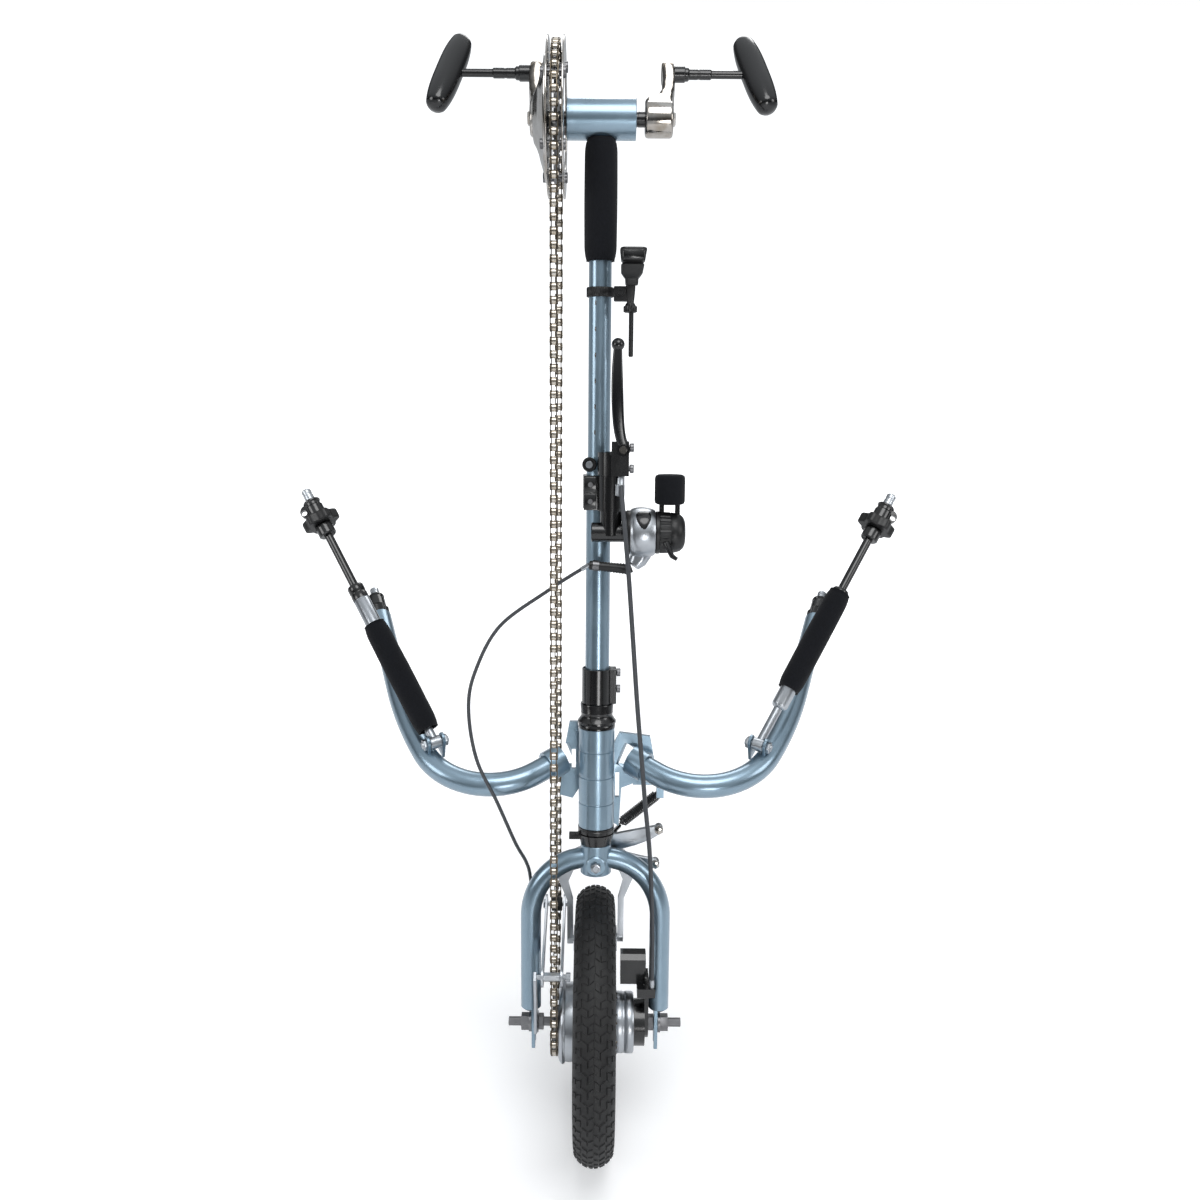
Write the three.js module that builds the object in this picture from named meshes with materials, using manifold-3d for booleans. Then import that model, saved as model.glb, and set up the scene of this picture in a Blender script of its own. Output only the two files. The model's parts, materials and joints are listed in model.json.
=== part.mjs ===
// Handcycle: a hand-cranked front wheel that clamps to the frame of a wheelchair.
// Millimetres, +Z up. The origin is the tyre's contact point with the ground, X runs across
// the wheel and +Y runs rearward to the wheelchair. Left is -X and right is +X, as seen
// by someone who stands in front of the wheel and faces it.
// Everything that steers, and the head tube round it, is modelled in the steering frame:
// its z axis is the steering axis, which leans back, and its origin is the wheel's axle.

import * as THREE from "three";
import { mergeVertices } from "three/addons/utils/BufferGeometryUtils.js";
import Module from "manifold-3d";

const wasm = await Module();
wasm.setup();

// Driving dimensions
const steeringLean = 18;
const wheelRadius = 148.5;
const tyreWidth = 47;
const tyreWall = 3.5;
const rimBeadRadius = 101.5;
const rimWidth = 32;
const rimDepth = 17;
const rimWall = 3;
const spokeCount = 28;
const spokeRadius = 1.2;
const hubLength = 75;
const hubRadius = 26;
const hubFlangeRadius = 42;
const hubFlangeThickness = 4;
const drumRadius = 33;
const brakeCoverRadius = 25.4;
const axleRadius = 5;
const axleLength = 191;
const axleOverhang = 30;
const axleNutRadius = 9.6;
const axleNutHeight = 8.5;

const chainPitch = 12.7;
const chainPlane = 44;
const ringTeeth = 34;
const sprocketTeeth = 16;
const jockeyTeeth = 11;
const rollerRadius = 4.25;
const rollerLength = 7.9;
const linkPlate = 1;
const linkHeight = 4.25;
const linkGap = 0.2;
const rollerFlatShare = 0.866;
const tensionerFront = 46;
const tensionerHeight = 76;
const jockeyRear = 57;
const jockeyHeight = 112;

const steererRadius = 14.3;
const steererWall = 1.3;
const steererTop = 402;
const mastLength = 954;
const lowerMastRadius = 12.7;
const mastWall = 1;
const lowerMastBottom = 300;
const lowerMastTop = 612;
const upperMastBottom = 500;
const shellLength = 68;
const shellRadius = 20;
const shellBore = 17.3;
const spindleRadius = 7.5;
const mastFoamRadius = 16.5;
const mastFoamLength = 117;
const lampDrop = 170;

const headTubeBottom = 229.3;
const headTubeLength = 109.7;
const headTubeRadius = 19;
const headTubeWall = 2;
const crownBottom = 176;
const crownHeight = 33;
const crownRadius = 16.5;
const bladeRadius = 11.1;
const bladeSpread = 70.6;
const bladeStraightTop = 125;
const bladeBendRadius = 60;
const dropoutThickness = 4;

const crankLength = 152;
const crankTread = 64;
const crankThickness = 13;
const crankBossRadius = 17.5;
const crankAngle = 60.4;
const gripLength = 112;
const gripRadius = 15;
const gripLean = 12;
const gripSlope = 37.7;
const handleReach = 165;
const guardRadius = 75;

const armRadius = 12.7;
const armTilt = 16;
const armBendRadius = 85;
const armSpread = 115;
const armLift = 80;
const armHeight = 415;
const strutElevation = 40;
const strutSplay = 50.5;
const strutLength = 288;
const strutRadius = 9;
const strutRodRadius = 4.8;
const strutFoamRadius = 13.75;
const starKnobRadius = 21;
const lowerKnobRadius = 12;

const controlBarRadius = 11.1;
const shifterRadius = 24.5;
const shifterGripRadius = 20;

// Running clearance between two neighbours, the overrun of a cut, and the bite of a weld
const clearance = 0.3;
const overrun = 2;
const bite = 0.6;

// Corners that stand out less than this from a flat face or a straight edge are left out.
const flatTolerance = 0.002;

// Sides of the round pieces, by size
const fineSides = 32;
const roundSides = 16;
const smallSides = 12;
const boltSides = 6;
const hexSides = 6;
const cordSides = 8;

// Finishes
const finish = (color, metalness, roughness) =>
  new THREE.MeshStandardMaterial({ color, metalness, roughness });
const paint = finish(0x9db4c6, 0.75, 0.28);
const chrome = finish(0xd7d8da, 1, 0.12);
const satinAlloy = finish(0xb9bcc0, 1, 0.35);
const darkSteel = finish(0x5b5d60, 1, 0.4);
const chainSteel = finish(0x8d8f92, 1, 0.35);
const blackPaint = finish(0x17181a, 0.2, 0.35);
const blackPlastic = finish(0x1a1b1d, 0, 0.45);
const foamRubber = finish(0x202124, 0, 0.95);
const glossRubber = finish(0x141416, 0, 0.3);
const tyreRubber = finish(0x2a2a2b, 0, 0.8);
const cableJacket = finish(0x101112, 0, 0.5);

const degrees = THREE.MathUtils.degToRad;
const at = (x, y, z) => new THREE.Vector3(x, y, z);
const axisX = at(1, 0, 0);
const axisY = at(0, 1, 0);
const axisZ = at(0, 0, 1);

// A closed geometry becomes a solid, with its faces turned outwards.
function solidOf(geometry) {
  const bare = geometry.clone();
  bare.deleteAttribute("normal");
  bare.deleteAttribute("uv");
  const merged = mergeVertices(bare, 1e-4);
  const kept = [];
  const index = merged.index.array;
  for (let i = 0; i < index.length; i += 3) {
    const [a, b, c] = [index[i], index[i + 1], index[i + 2]];
    if (a !== b && b !== c && a !== c) kept.push(a, b, c);
  }
  const vertProperties = new Float32Array(merged.attributes.position.array);
  let triVerts = new Uint32Array(kept);
  if (signedVolume(vertProperties, triVerts) < 0) triVerts = triVerts.reverse();
  return new wasm.Manifold(new wasm.Mesh({ numProp: 3, vertProperties, triVerts }));
}

function signedVolume(points, triangles) {
  const corner = (i) => at(points[3 * i], points[3 * i + 1], points[3 * i + 2]);
  let sum = 0;
  for (let i = 0; i < triangles.length; i += 3) {
    sum += corner(triangles[i]).dot(corner(triangles[i + 1]).cross(corner(triangles[i + 2])));
  }
  return sum;
}

const join = (first, ...rest) => rest.reduce((whole, part) => whole.add(part), first);
const cut = (first, ...rest) => rest.reduce((whole, part) => whole.subtract(part), first);

function moved(solid, matrix) {
  return solid.transform(matrix.elements);
}

function placed(solid, position, rotation = new THREE.Quaternion()) {
  return moved(solid, new THREE.Matrix4().compose(position, rotation, at(1, 1, 1)));
}

// A profile of [radius, height] pairs turned about z. It starts and ends on the axis,
// or is closed by repeating its first pair.
function turned(profile, sides) {
  const first = profile[0];
  const last = profile[profile.length - 1];
  const ends = first[0] === 0 && last[0] === 0 ? [] : [first];
  const points = [...profile, ...ends].map(([r, z]) => new THREE.Vector2(r, z));
  return solidOf(new THREE.LatheGeometry(points, sides).rotateX(degrees(90)));
}

// The turn that takes z to the line between two points
function along(from, to) {
  return new THREE.Quaternion().setFromUnitVectors(axisZ, to.clone().sub(from).normalize());
}

function rod(from, to, radius, sides = smallSides, endRadius = radius) {
  const length = from.distanceTo(to);
  const shape = turned([[0, 0], [radius, 0], [endRadius, length], [0, length]], sides);
  return placed(shape, from, along(from, to));
}

function pipe(from, to, radius, bore, sides = roundSides) {
  const length = from.distanceTo(to);
  const shape = turned([[bore, 0], [radius, 0], [radius, length], [bore, length]], sides);
  return placed(shape, from, along(from, to));
}

function block(low, high) {
  const size = high.clone().sub(low);
  const shape = new THREE.BoxGeometry(size.x, size.y, size.z);
  const centre = low.clone().add(high).divideScalar(2);
  return solidOf(shape.translate(centre.x, centre.y, centre.z));
}

// An outline of [x, y] pairs, or a ready shape, raised along z between two heights
function raised(outline, from, to, arcSides = smallSides) {
  const shape = Array.isArray(outline)
    ? new THREE.Shape(outline.map(([x, y]) => new THREE.Vector2(x, y)))
    : outline;
  const depth = to - from;
  const settings = { depth, bevelEnabled: false, curveSegments: arcSides / 2 };
  const solid = new THREE.ExtrudeGeometry(shape, settings);
  return solidOf(solid.translate(0, 0, from));
}

// A path that steps exactly from station to station
class Stations extends THREE.Curve {
  constructor(points) {
    super();
    this.points = points;
  }

  getPoint(t) {
    const place = t * (this.points.length - 1);
    const i = Math.min(Math.floor(place), this.points.length - 2);
    return this.points[i].clone().lerp(this.points[i + 1], place - i);
  }

  getPointAt(t) {
    return this.getPoint(t);
  }

  getTangentAt(t) {
    const last = this.points.length - 1;
    const i = Math.round(t * last);
    const before = this.points[Math.max(i - 1, 0)];
    const after = this.points[Math.min(i + 1, last)];
    if (i === 0 || i === last) return after.clone().sub(before).normalize();
    const here = this.points[i];
    const into = here.clone().sub(before).normalize();
    const out = after.clone().sub(here).normalize();
    return into.add(out).normalize();
  }
}

function disc(radius, bore = 0) {
  const shape = new THREE.Shape();
  shape.absarc(0, 0, radius, 0, degrees(360));
  if (bore > 0) shape.holes.push(new THREE.Path().absarc(0, 0, bore, 0, degrees(360), true));
  return shape;
}

function tubeThrough(points, radius, bore = 0, sides = roundSides) {
  const path = new Stations(points);
  const settings = { steps: points.length - 1, curveSegments: sides / 2, extrudePath: path };
  return solidOf(new THREE.ExtrudeGeometry(disc(radius, bore), settings));
}

// Stations along a smooth curve through a cord's chosen points
function cordThrough(points, radius, steps) {
  const curve = new THREE.CatmullRomCurve3(points, false, "centripetal");
  return tubeThrough(curve.getSpacedPoints(steps), radius, 0, cordSides);
}

const handcycle = new THREE.Group();
const steering = new THREE.Group();
steering.position.set(0, 0, wheelRadius);
steering.rotation.x = -degrees(steeringLean);
handcycle.add(steering);

// A solid becomes a named mesh in a group.
function piece(name, solid, material, parent = steering) {
  const { vertProperties, triVerts } = solid.simplify(flatTolerance).getMesh();
  const geometry = new THREE.BufferGeometry();
  geometry.setAttribute("position", new THREE.BufferAttribute(new Float32Array(vertProperties), 3));
  geometry.setIndex(new THREE.BufferAttribute(new Uint32Array(triVerts), 1));
  geometry.computeVertexNormals();
  const mesh = new THREE.Mesh(geometry, material);
  mesh.name = name;
  parent.add(mesh);
  return mesh;
}

// Chain and toothed wheels
// The chain is one loop of rollers, each seated between two teeth wherever it lies on a
// wheel, with a whole number of pitches in each straight run. Places in the chain's plane
// are [rearward, up] pairs in the steering frame.
const toothTurn = (teeth) => degrees(360) / teeth;
const pitchRadius = (teeth) => chainPitch / (2 * Math.sin(toothTurn(teeth) / 2));
const plane = (rearward, up) => new THREE.Vector2(rearward, up);

const cagePivot = plane(-tensionerFront, tensionerHeight);
const cageRest = plane(jockeyRear, jockeyHeight);
const cageLength = cagePivot.distanceTo(cageRest);
const cageRestAngle = cageRest.clone().sub(cagePivot).angle();
const cageStep = degrees(1 / 2);
const cageSteps = 40;
const chainTolerance = 1e-4;

const ring = { teeth: ringTeeth, centre: plane(0, mastLength) };
const sprocket = { teeth: sprocketTeeth, centre: plane(0, 0) };
const jockeyAt = (angle) => ({
  teeth: jockeyTeeth,
  centre: plane(Math.cos(angle), Math.sin(angle)).multiplyScalar(cageLength).add(cagePivot),
});
const onWheel = (wheel, angle) =>
  plane(Math.cos(angle), Math.sin(angle)).multiplyScalar(pitchRadius(wheel.teeth)).add(wheel.centre);

// The angle, on both wheels, of the outer line that touches them
function touchingAngle(from, to) {
  const line = to.centre.clone().sub(from.centre);
  const difference = pitchRadius(from.teeth) - pitchRadius(to.teeth);
  return line.angle() - degrees(90) + Math.asin(difference / line.length());
}

// The angle on a wheel at which a straight run of whole pitches from the last roller ends
function landing(last, wheel, earliest) {
  const distance = (angle) => last.distanceTo(onWheel(wheel, angle));
  const pitches = Math.ceil(distance(earliest) / chainPitch);
  let low = earliest;
  let high = earliest + toothTurn(wheel.teeth) * 1.5;
  for (let step = 0; step < 50; step++) {
    const middle = (low + high) / 2;
    if (distance(middle) < pitches * chainPitch) low = middle;
    else high = middle;
  }
  return { angle: low, pitches };
}

function wrapped(angle, floor) {
  const round = degrees(360);
  return floor + ((((angle - floor) % round) + round) % round);
}

// Rollers from the rear of the ring, over its top, down the front run, round the sprocket
// and over the jockey. Length counts the pitches of the whole loop, closing run included.
function chainLoop(cageAngle) {
  const jockey = jockeyAt(cageAngle);
  const start = touchingAngle(jockey, ring);
  const first = Math.round(start / toothTurn(ringTeeth)) * toothTurn(ringTeeth);
  const rollers = [];
  const phases = [];
  let angle = first;
  const stops = [ring, sprocket, jockey, ring];
  for (let i = 0; i < 3; i++) {
    const wheel = stops[i];
    const leave = wrapped(touchingAngle(wheel, stops[i + 1]), angle - toothTurn(wheel.teeth));
    phases.push(angle);
    const lastSeat = leave + toothTurn(wheel.teeth) / 2;
    for (; angle <= lastSeat; angle += toothTurn(wheel.teeth)) rollers.push(onWheel(wheel, angle));
    if (i === 2) break;
    const last = rollers[rollers.length - 1];
    const next = landing(last, stops[i + 1], leave - toothTurn(stops[i + 1].teeth) / 2);
    const end = onWheel(stops[i + 1], next.angle);
    for (let k = 1; k < next.pitches; k++) rollers.push(last.clone().lerp(end, k / next.pitches));
    angle = next.angle;
  }
  const closing = rollers[rollers.length - 1].distanceTo(rollers[0]) / chainPitch;
  return { jockey, rollers, phases, closing, length: rollers.length - 1 + closing };
}

// The angle nearest to rest at which an even number of links closes the loop. A jump
// between two steps is where a roller changes its tooth. Where no angle fits exactly, the
// closing run takes up the least difference.
function settledAngle() {
  const excess = (angle, links) => chainLoop(angle).length - links;
  const best = { angle: cageRestAngle, miss: Infinity };
  for (let step = 0; step < cageSteps; step++) {
    for (const side of [-1, 1]) {
      let near = cageRestAngle + side * step * cageStep;
      let far = near + side * cageStep;
      const links = 2 * Math.round(chainLoop(near).length / 2);
      const [first, last] = [excess(near, links), excess(far, links)];
      if (Math.abs(first) < best.miss) Object.assign(best, { angle: near, miss: Math.abs(first) });
      if (first * last > 0 || Math.abs(first - last) > 1 / 2) continue;
      for (let k = 0; k < 50; k++) {
        const middle = (near + far) / 2;
        if (excess(middle, links) * first > 0) near = middle;
        else far = middle;
      }
      if (Math.abs(excess(far, links)) < chainTolerance) return far;
    }
  }
  return best.angle;
}
const cageAngle = settledAngle();
const loop = chainLoop(cageAngle);
const [ringPhase, sprocketPhase, jockeyPhase] = loop.phases;
const closingPitches = Math.round(loop.closing);
const closingStart = loop.rollers[loop.rollers.length - 1];
for (let k = 1; k < closingPitches; k++) {
  loop.rollers.push(closingStart.clone().lerp(loop.rollers[0], k / closingPitches));
}
console.log(`chain: ${loop.rollers.length} links, closing run ${loop.closing.toFixed(4)} pitches`);

// A roller is a flat-sided block as high as the plates. The faces towards its neighbours
// are divided across their width where the two plates of a link leave them.
const outerPlates = rollerLength / 2 - linkPlate;
const innerPlates = outerPlates - linkGap - linkPlate;

function linkPlaces(isOuter) {
  const inside = isOuter ? outerPlates : innerPlates;
  const outside = inside + linkPlate;
  const ends = isOuter ? [] : [rollerLength / 2];
  return { inside, outside, across: [...ends.map((x) => -x), -outside, -inside, inside, outside, ...ends] };
}

function chainGeometry(rollers) {
  const corners = [];
  const quad = (a, b, c, d) => corners.push(a, b, c, a, c, d);
  const spot = (x, point) => at(x - chainPlane, point.x, point.y);
  const edge = rollerLength / 2;
  const count = rollers.length;
  const flats = rollers.map((here, i) => {
    const neighbours = [rollers[(i + count - 1) % count], rollers[(i + 1) % count]];
    return neighbours.map((other) => {
      const way = other.clone().sub(here).normalize();
      const up = plane(-way.y, way.x).multiplyScalar(linkHeight / 2);
      const centre = here.clone().addScaledVector(way, rollerRadius * rollerFlatShare);
      return [centre.clone().add(up), centre.clone().sub(up)];
    });
  });
  for (let i = 0; i < count; i++) {
    const [back, ahead] = flats[i];
    const leaving = linkPlaces(i % 2 === 0);
    const arriving = linkPlaces(i % 2 === 1);
    const end = [ahead[0], back[1], back[0], ahead[1]];
    quad(...end.map((point) => spot(edge, point)));
    quad(...end.map((point) => spot(-edge, point)).reverse());
    flat(ahead, leaving);
    flat(back, arriving);
    face(ahead[0], back[1], leaving.across, arriving.across, false);
    face(ahead[1], back[0], leaving.across, arriving.across, true);
    const next = flats[(i + 1) % count][0];
    const { inside, outside } = leaving;
    for (const [low, high] of [[-outside, -inside], [inside, outside]]) {
      const near = [spot(low, ahead[0]), spot(high, ahead[0]), spot(high, ahead[1]), spot(low, ahead[1])];
      const far = [spot(low, next[1]), spot(high, next[1]), spot(high, next[0]), spot(low, next[0])];
      for (let k = 0; k < near.length; k++) {
        const after = (k + 1) % near.length;
        quad(near[k], near[after], far[after], far[k]);
      }
    }
  }

  // The strips of a roller's end face that no plate covers
  function flat([left, right], { inside, outside, across }) {
    for (let k = 0; k < across.length - 1; k++) {
      const [low, high] = [across[k], across[k + 1]];
      const middle = Math.abs(low + high) / 2;
      if (middle > inside && middle < outside) continue;
      quad(spot(low, left), spot(high, left), spot(high, right), spot(low, right));
    }
  }

  // The face between the edges of a roller's two divided ends
  function face(front, rear, frontPlaces, rearPlaces, isFlipped) {
    let [i, j] = [0, 0];
    while (i < frontPlaces.length - 1 || j < rearPlaces.length - 1) {
      const a = spot(frontPlaces[i], front);
      const c = spot(rearPlaces[j], rear);
      const isFrontStep = j === rearPlaces.length - 1
        || (i < frontPlaces.length - 1 && frontPlaces[i + 1] <= rearPlaces[j + 1]);
      const next = isFrontStep ? spot(frontPlaces[++i], front) : spot(rearPlaces[++j], rear);
      corners.push(...(isFlipped ? [a, next, c] : [next, a, c]));
    }
  }

  return new THREE.BufferGeometry().setFromPoints(corners);
}

piece("chain", solidOf(chainGeometry(loop.rollers)), chainSteel);

// A toothed wheel with a flat seat under each roller and a tapered tooth between two rollers
const tooth = { flank: 2.1, flankDrop: linkHeight / 2 + clearance, tip: 0.9, tipRise: 2.2, thickness: 2.8 };

function toothedOutline(teeth, phase) {
  const radius = pitchRadius(teeth);
  const flankRadius = radius * Math.cos(toothTurn(teeth) / 2) - tooth.flankDrop;
  const tipRadius = radius + tooth.tipRise;
  const points = [];
  for (let i = 0; i < teeth; i++) {
    const centre = phase + (i + 1 / 2) * toothTurn(teeth);
    for (const [r, half] of [
      [flankRadius, -tooth.flank],
      [tipRadius, -tooth.tip],
      [tipRadius, tooth.tip],
      [flankRadius, tooth.flank],
    ]) {
      points.push([
        r * Math.cos(centre) - half * Math.sin(centre),
        r * Math.sin(centre) + half * Math.cos(centre),
      ]);
    }
  }
  return new THREE.Shape(points.map(([x, y]) => new THREE.Vector2(x, y)));
}

// Shapes drawn in the chain's plane stand up across x: drawn x runs rearward and drawn y up.
const acrossX = new THREE.Quaternion().setFromRotationMatrix(
  new THREE.Matrix4().makeBasis(axisY, axisZ, axisX),
);

function acrossPlate(shape, from, to, centre, arcSides = smallSides) {
  return placed(raised(shape, from, to, arcSides), at(0, centre.x, centre.y), acrossX);
}

// Wheel. It stands upright in the steering frame, so that a corner of the tyre's outline
// touches the ground.
const wheel = new THREE.Group();
wheel.rotation.x = degrees(steeringLean);
steering.add(wheel);
const zToX = new THREE.Quaternion().setFromUnitVectors(axisZ, axisX);
const aboutX = (profile, sides) => placed(turned(profile, sides), at(0, 0, 0), zToX);

const rim = { hookDepth: 4, wellHalf: 9, seat: 94 };
const rimBase = rimBeadRadius - rimDepth;
const channelHalf = rimWidth / 2 - rimWall;
piece(
  "rim",
  aboutX(
    [
      [rimBase, -rim.wellHalf],
      [rimBeadRadius - rim.hookDepth, -rimWidth / 2],
      [rimBeadRadius, -rimWidth / 2],
      [rimBeadRadius, -channelHalf],
      [rim.seat, -channelHalf],
      [rim.seat, channelHalf],
      [rimBeadRadius, channelHalf],
      [rimBeadRadius, rimWidth / 2],
      [rimBeadRadius - rim.hookDepth, rimWidth / 2],
      [rimBase, rim.wellHalf],
    ],
    fineSides,
  ),
  satinAlloy,
  wheel,
);

// The tyre's beads stand in the rim's channel, and its walls swell over the rim's edges.
const tyre = { outerSteps: 6, innerSteps: 2, wallTurn: 120 };

function tyreProfile() {
  const section = tyreWidth / 2;
  const centre = wheelRadius - section;
  const turn = degrees(tyre.wallTurn);
  const arc = (half, steps, from, to) => {
    const points = [];
    for (let i = 0; i <= steps; i++) {
      const angle = from + ((to - from) * i) / steps;
      points.push([centre + half * Math.cos(angle), half * Math.sin(angle)]);
    }
    return points;
  };
  const outer = channelHalf - clearance;
  const foot = rim.seat + clearance;
  const neck = rimBeadRadius + clearance * 2;
  return [
    [foot, -outer],
    [neck, -outer],
    ...arc(section, tyre.outerSteps, -turn, turn),
    [neck, outer],
    [foot, outer],
    [foot, outer - tyreWall],
    ...arc(section - tyreWall, tyre.innerSteps, turn, -turn),
    [foot, tyreWall - outer],
  ];
}
piece("tyre", aboutX(tyreProfile(), fineSides), tyreRubber, wheel);

// The hub shell carries the spokes, whose nipples end at the rim, and a rounded cap that
// stands between its left flange and the chain.
const hubCap = { thickness: 7.4, rise: 3, bore: 16 };
const hub = { left: -32, flangeInner: -20, rightFlange: 22, drumEdge: 43 };
const spoke = { crossing: 24, bendInset: 3, rimOffset: 3, sides: 3 };
const axleHole = axleRadius + clearance;

function hubShell() {
  const shell = aboutX(
    [
      [axleHole, hub.left],
      [hubCap.bore, hub.left],
      [hubCap.bore, hub.left - hubCap.thickness],
      [hubFlangeRadius, hub.left - hubCap.thickness],
      [hubFlangeRadius + hubCap.rise, hub.left - hubCap.thickness / 2],
      [hubFlangeRadius, hub.left],
      [hubFlangeRadius, hub.flangeInner],
      [hubRadius, hub.flangeInner + hubFlangeThickness],
      [hubRadius, hub.rightFlange - hubFlangeThickness],
      [drumRadius, hub.rightFlange],
      [drumRadius, hub.drumEdge],
      [axleHole, hub.drumEdge],
    ],
    roundSides,
  );
  const spokes = [];
  for (let i = 0; i < spokeCount; i++) {
    const isLeft = i % 2 === 0;
    const rimTurn = (i / spokeCount) * degrees(360);
    const crossing = degrees(i % 4 < 2 ? spoke.crossing : -spoke.crossing);
    const flange = isLeft ? hubFlangeRadius : drumRadius;
    const start = (flange - spoke.bendInset);
    const inX = isLeft ? hub.flangeInner - hubFlangeThickness : hub.rightFlange + spoke.bendInset;
    const outX = isLeft ? -spoke.rimOffset : spoke.rimOffset;
    const from = at(inX, start * Math.cos(rimTurn + crossing), start * Math.sin(rimTurn + crossing));
    const reach = rimBase - clearance - spokeRadius;
    const to = at(outX, reach * Math.cos(rimTurn), reach * Math.sin(rimTurn));
    spokes.push(rod(from, to, spokeRadius, spoke.sides));
  }
  return join(shell, ...spokes);
}
piece("hub", hubShell(), satinAlloy, wheel);

// The bracket on the left dropout that carries the chain tensioner's pivot bolt
const keeper = { plate: 3, boltRadius: 3, nutRadius: 5, nutLength: 4, innerEnd: -30, eye: 12 };

// Fixed axle with its locknuts, washers and hexagon nuts
const dropoutInner = axleLength / 2 - axleOverhang;
const dropoutOuter = dropoutInner + dropoutThickness;
const axle = { washer: 3, washerRadius: 11, lock: 6, lockRadius: 9 };

function axleWithNuts() {
  const end = axleLength / 2;
  const parts = [rod(at(-end, 0, 0), at(end, 0, 0), axleRadius, boltSides)];
  for (const side of [-1, 1]) {
    const span = (from, to, radius, sides) => {
      const [a, b] = [side * (dropoutInner + from), side * (dropoutInner + to)];
      return rod(at(a, 0, 0), at(b, 0, 0), radius, sides);
    };
    const out = dropoutThickness + clearance;
    const lockFace = side < 0 ? -keeper.plate - clearance * 2 : -clearance;
    parts.push(span(lockFace - axle.lock + (side < 0 ? bite : 0), lockFace, axle.lockRadius, hexSides));
    parts.push(span(out, out + axle.washer, axle.washerRadius, smallSides));
    parts.push(span(out + axle.washer - bite, out + axle.washer + axleNutHeight, axleNutRadius, hexSides));
  }
  return join(...parts);
}
piece("axle", axleWithNuts(), darkSteel);

// Driver: the sprocket on its boss, outside the hub's left flange
const driver = { bossRadius: 15.6, bossOut: 12 };
const sprocketPlate = acrossPlate(
  toothedOutline(sprocketTeeth, sprocketPhase),
  -chainPlane - tooth.thickness / 2,
  -chainPlane + tooth.thickness / 2,
  sprocket.centre,
);
const driverBoss = aboutX(
  [
    [axleHole, -chainPlane - driver.bossOut],
    [driver.bossRadius, -chainPlane - driver.bossOut],
    [driver.bossRadius, hub.left - clearance],
    [axleHole, hub.left - clearance],
  ],
  smallSides,
);
const axleBore = rod(at(-chainPlane * 2, 0, 0), at(0, 0, 0), axleHole, smallSides);
piece("sprocket", cut(join(sprocketPlate, driverBoss), axleBore), darkSteel);

// Brake carrier: the still side of the hub brake, its reaction arm and its cable housing
const carrier = { armHalf: 12, armTop: 58, armThickness: 4, plateOut: 12 };
const housing = { left: 28, right: 56, front: -4, rear: 20, bottom: 47, top: 80, corner: 5 };
const carrierStop = { inner: 46, step: 54, outer: 66, front: -22, rear: -12.5, bottom: 40, top: 50 };
const carrierFace = hub.drumEdge + carrier.plateOut;

function brakeCarrier() {
  const cover = aboutX(
    [
      [axleHole, hub.drumEdge + clearance],
      [brakeCoverRadius, hub.drumEdge + clearance],
      [brakeCoverRadius, carrierFace],
      [axleHole, carrierFace],
    ],
    roundSides,
  );
  const arm = new THREE.Shape();
  arm.absarc(0, 0, carrier.armHalf + carrier.armThickness, degrees(180), degrees(360));
  arm.lineTo(carrier.armHalf, carrier.armTop);
  arm.lineTo(-carrier.armHalf, carrier.armTop);
  const stop = carrierStop;
  const cableStop = join(
    block(at(stop.inner, stop.front, stop.bottom), at(stop.outer, stop.rear, stop.top)),
    block(at(stop.inner, stop.front, stop.bottom), at(stop.step, 0, stop.top)),
  );
  const armPlate = acrossPlate(arm, carrierFace - bite, carrierFace + carrier.armThickness, plane(0, 0), boltSides);
  const box = new THREE.Shape([
    new THREE.Vector2(housing.front, housing.bottom),
    new THREE.Vector2(housing.rear, housing.bottom),
    new THREE.Vector2(housing.rear, housing.top - housing.corner),
    new THREE.Vector2(housing.rear - housing.corner, housing.top),
    new THREE.Vector2(housing.front + housing.corner, housing.top),
    new THREE.Vector2(housing.front, housing.top - housing.corner),
  ]);
  const housingBlock = acrossPlate(box, housing.left, housing.right, plane(0, 0));
  const bore = rod(at(0, 0, 0), at(axleLength / 2, 0, 0), axleHole, smallSides);
  return cut(join(cover, armPlate, housingBlock, cableStop), bore);
}
piece("brake_carrier", brakeCarrier(), blackPaint);

// Tensioner: a bolt on a bracket from the left dropout carries the cage, and the cage's
// jockey wheel presses the rear run outwards.
const keeperOutlineShares = [
  [-0.9, 0.1], [-0.95, 0.62], [-1.14, 0.98], [-1.02, 1.08], [-0.86, 1.03], [-0.6, 0.6], [-0.34, 0.22],
];
const keeperPlateX = -dropoutInner + clearance;

function chainKeeper() {
  const shape = new THREE.Shape();
  shape.absarc(0, 0, keeper.eye, degrees(-150), degrees(60));
  for (const [rearward, up] of [...keeperOutlineShares].reverse()) {
    shape.lineTo(-rearward * cagePivot.x, up * cagePivot.y);
  }
  const plate = acrossPlate(shape, keeperPlateX, keeperPlateX + keeper.plate, plane(0, 0), boltSides);
  const pivot = (x) => at(x, cagePivot.x, cagePivot.y);
  const bolt = rod(pivot(keeperPlateX), pivot(keeper.innerEnd), keeper.boltRadius, boltSides);
  const nut = rod(pivot(keeper.innerEnd - bite), pivot(keeper.innerEnd + keeper.nutLength), keeper.nutRadius, hexSides);
  const bore = rod(at(-axleLength, 0, 0), at(0, 0, 0), axleHole, smallSides);
  return cut(join(plate, bolt, nut), bore);
}
piece("chain_keeper", chainKeeper(), satinAlloy);

const cage = {
  outer: -57, inner: -36.5, plate: 2.5, sleeveRadius: 5, eye: 11, waist: 7, boltRadius: 3, capRadius: 5.5, cap: 2.5,
};
const jockeyCentre = loop.jockey.centre;

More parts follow.
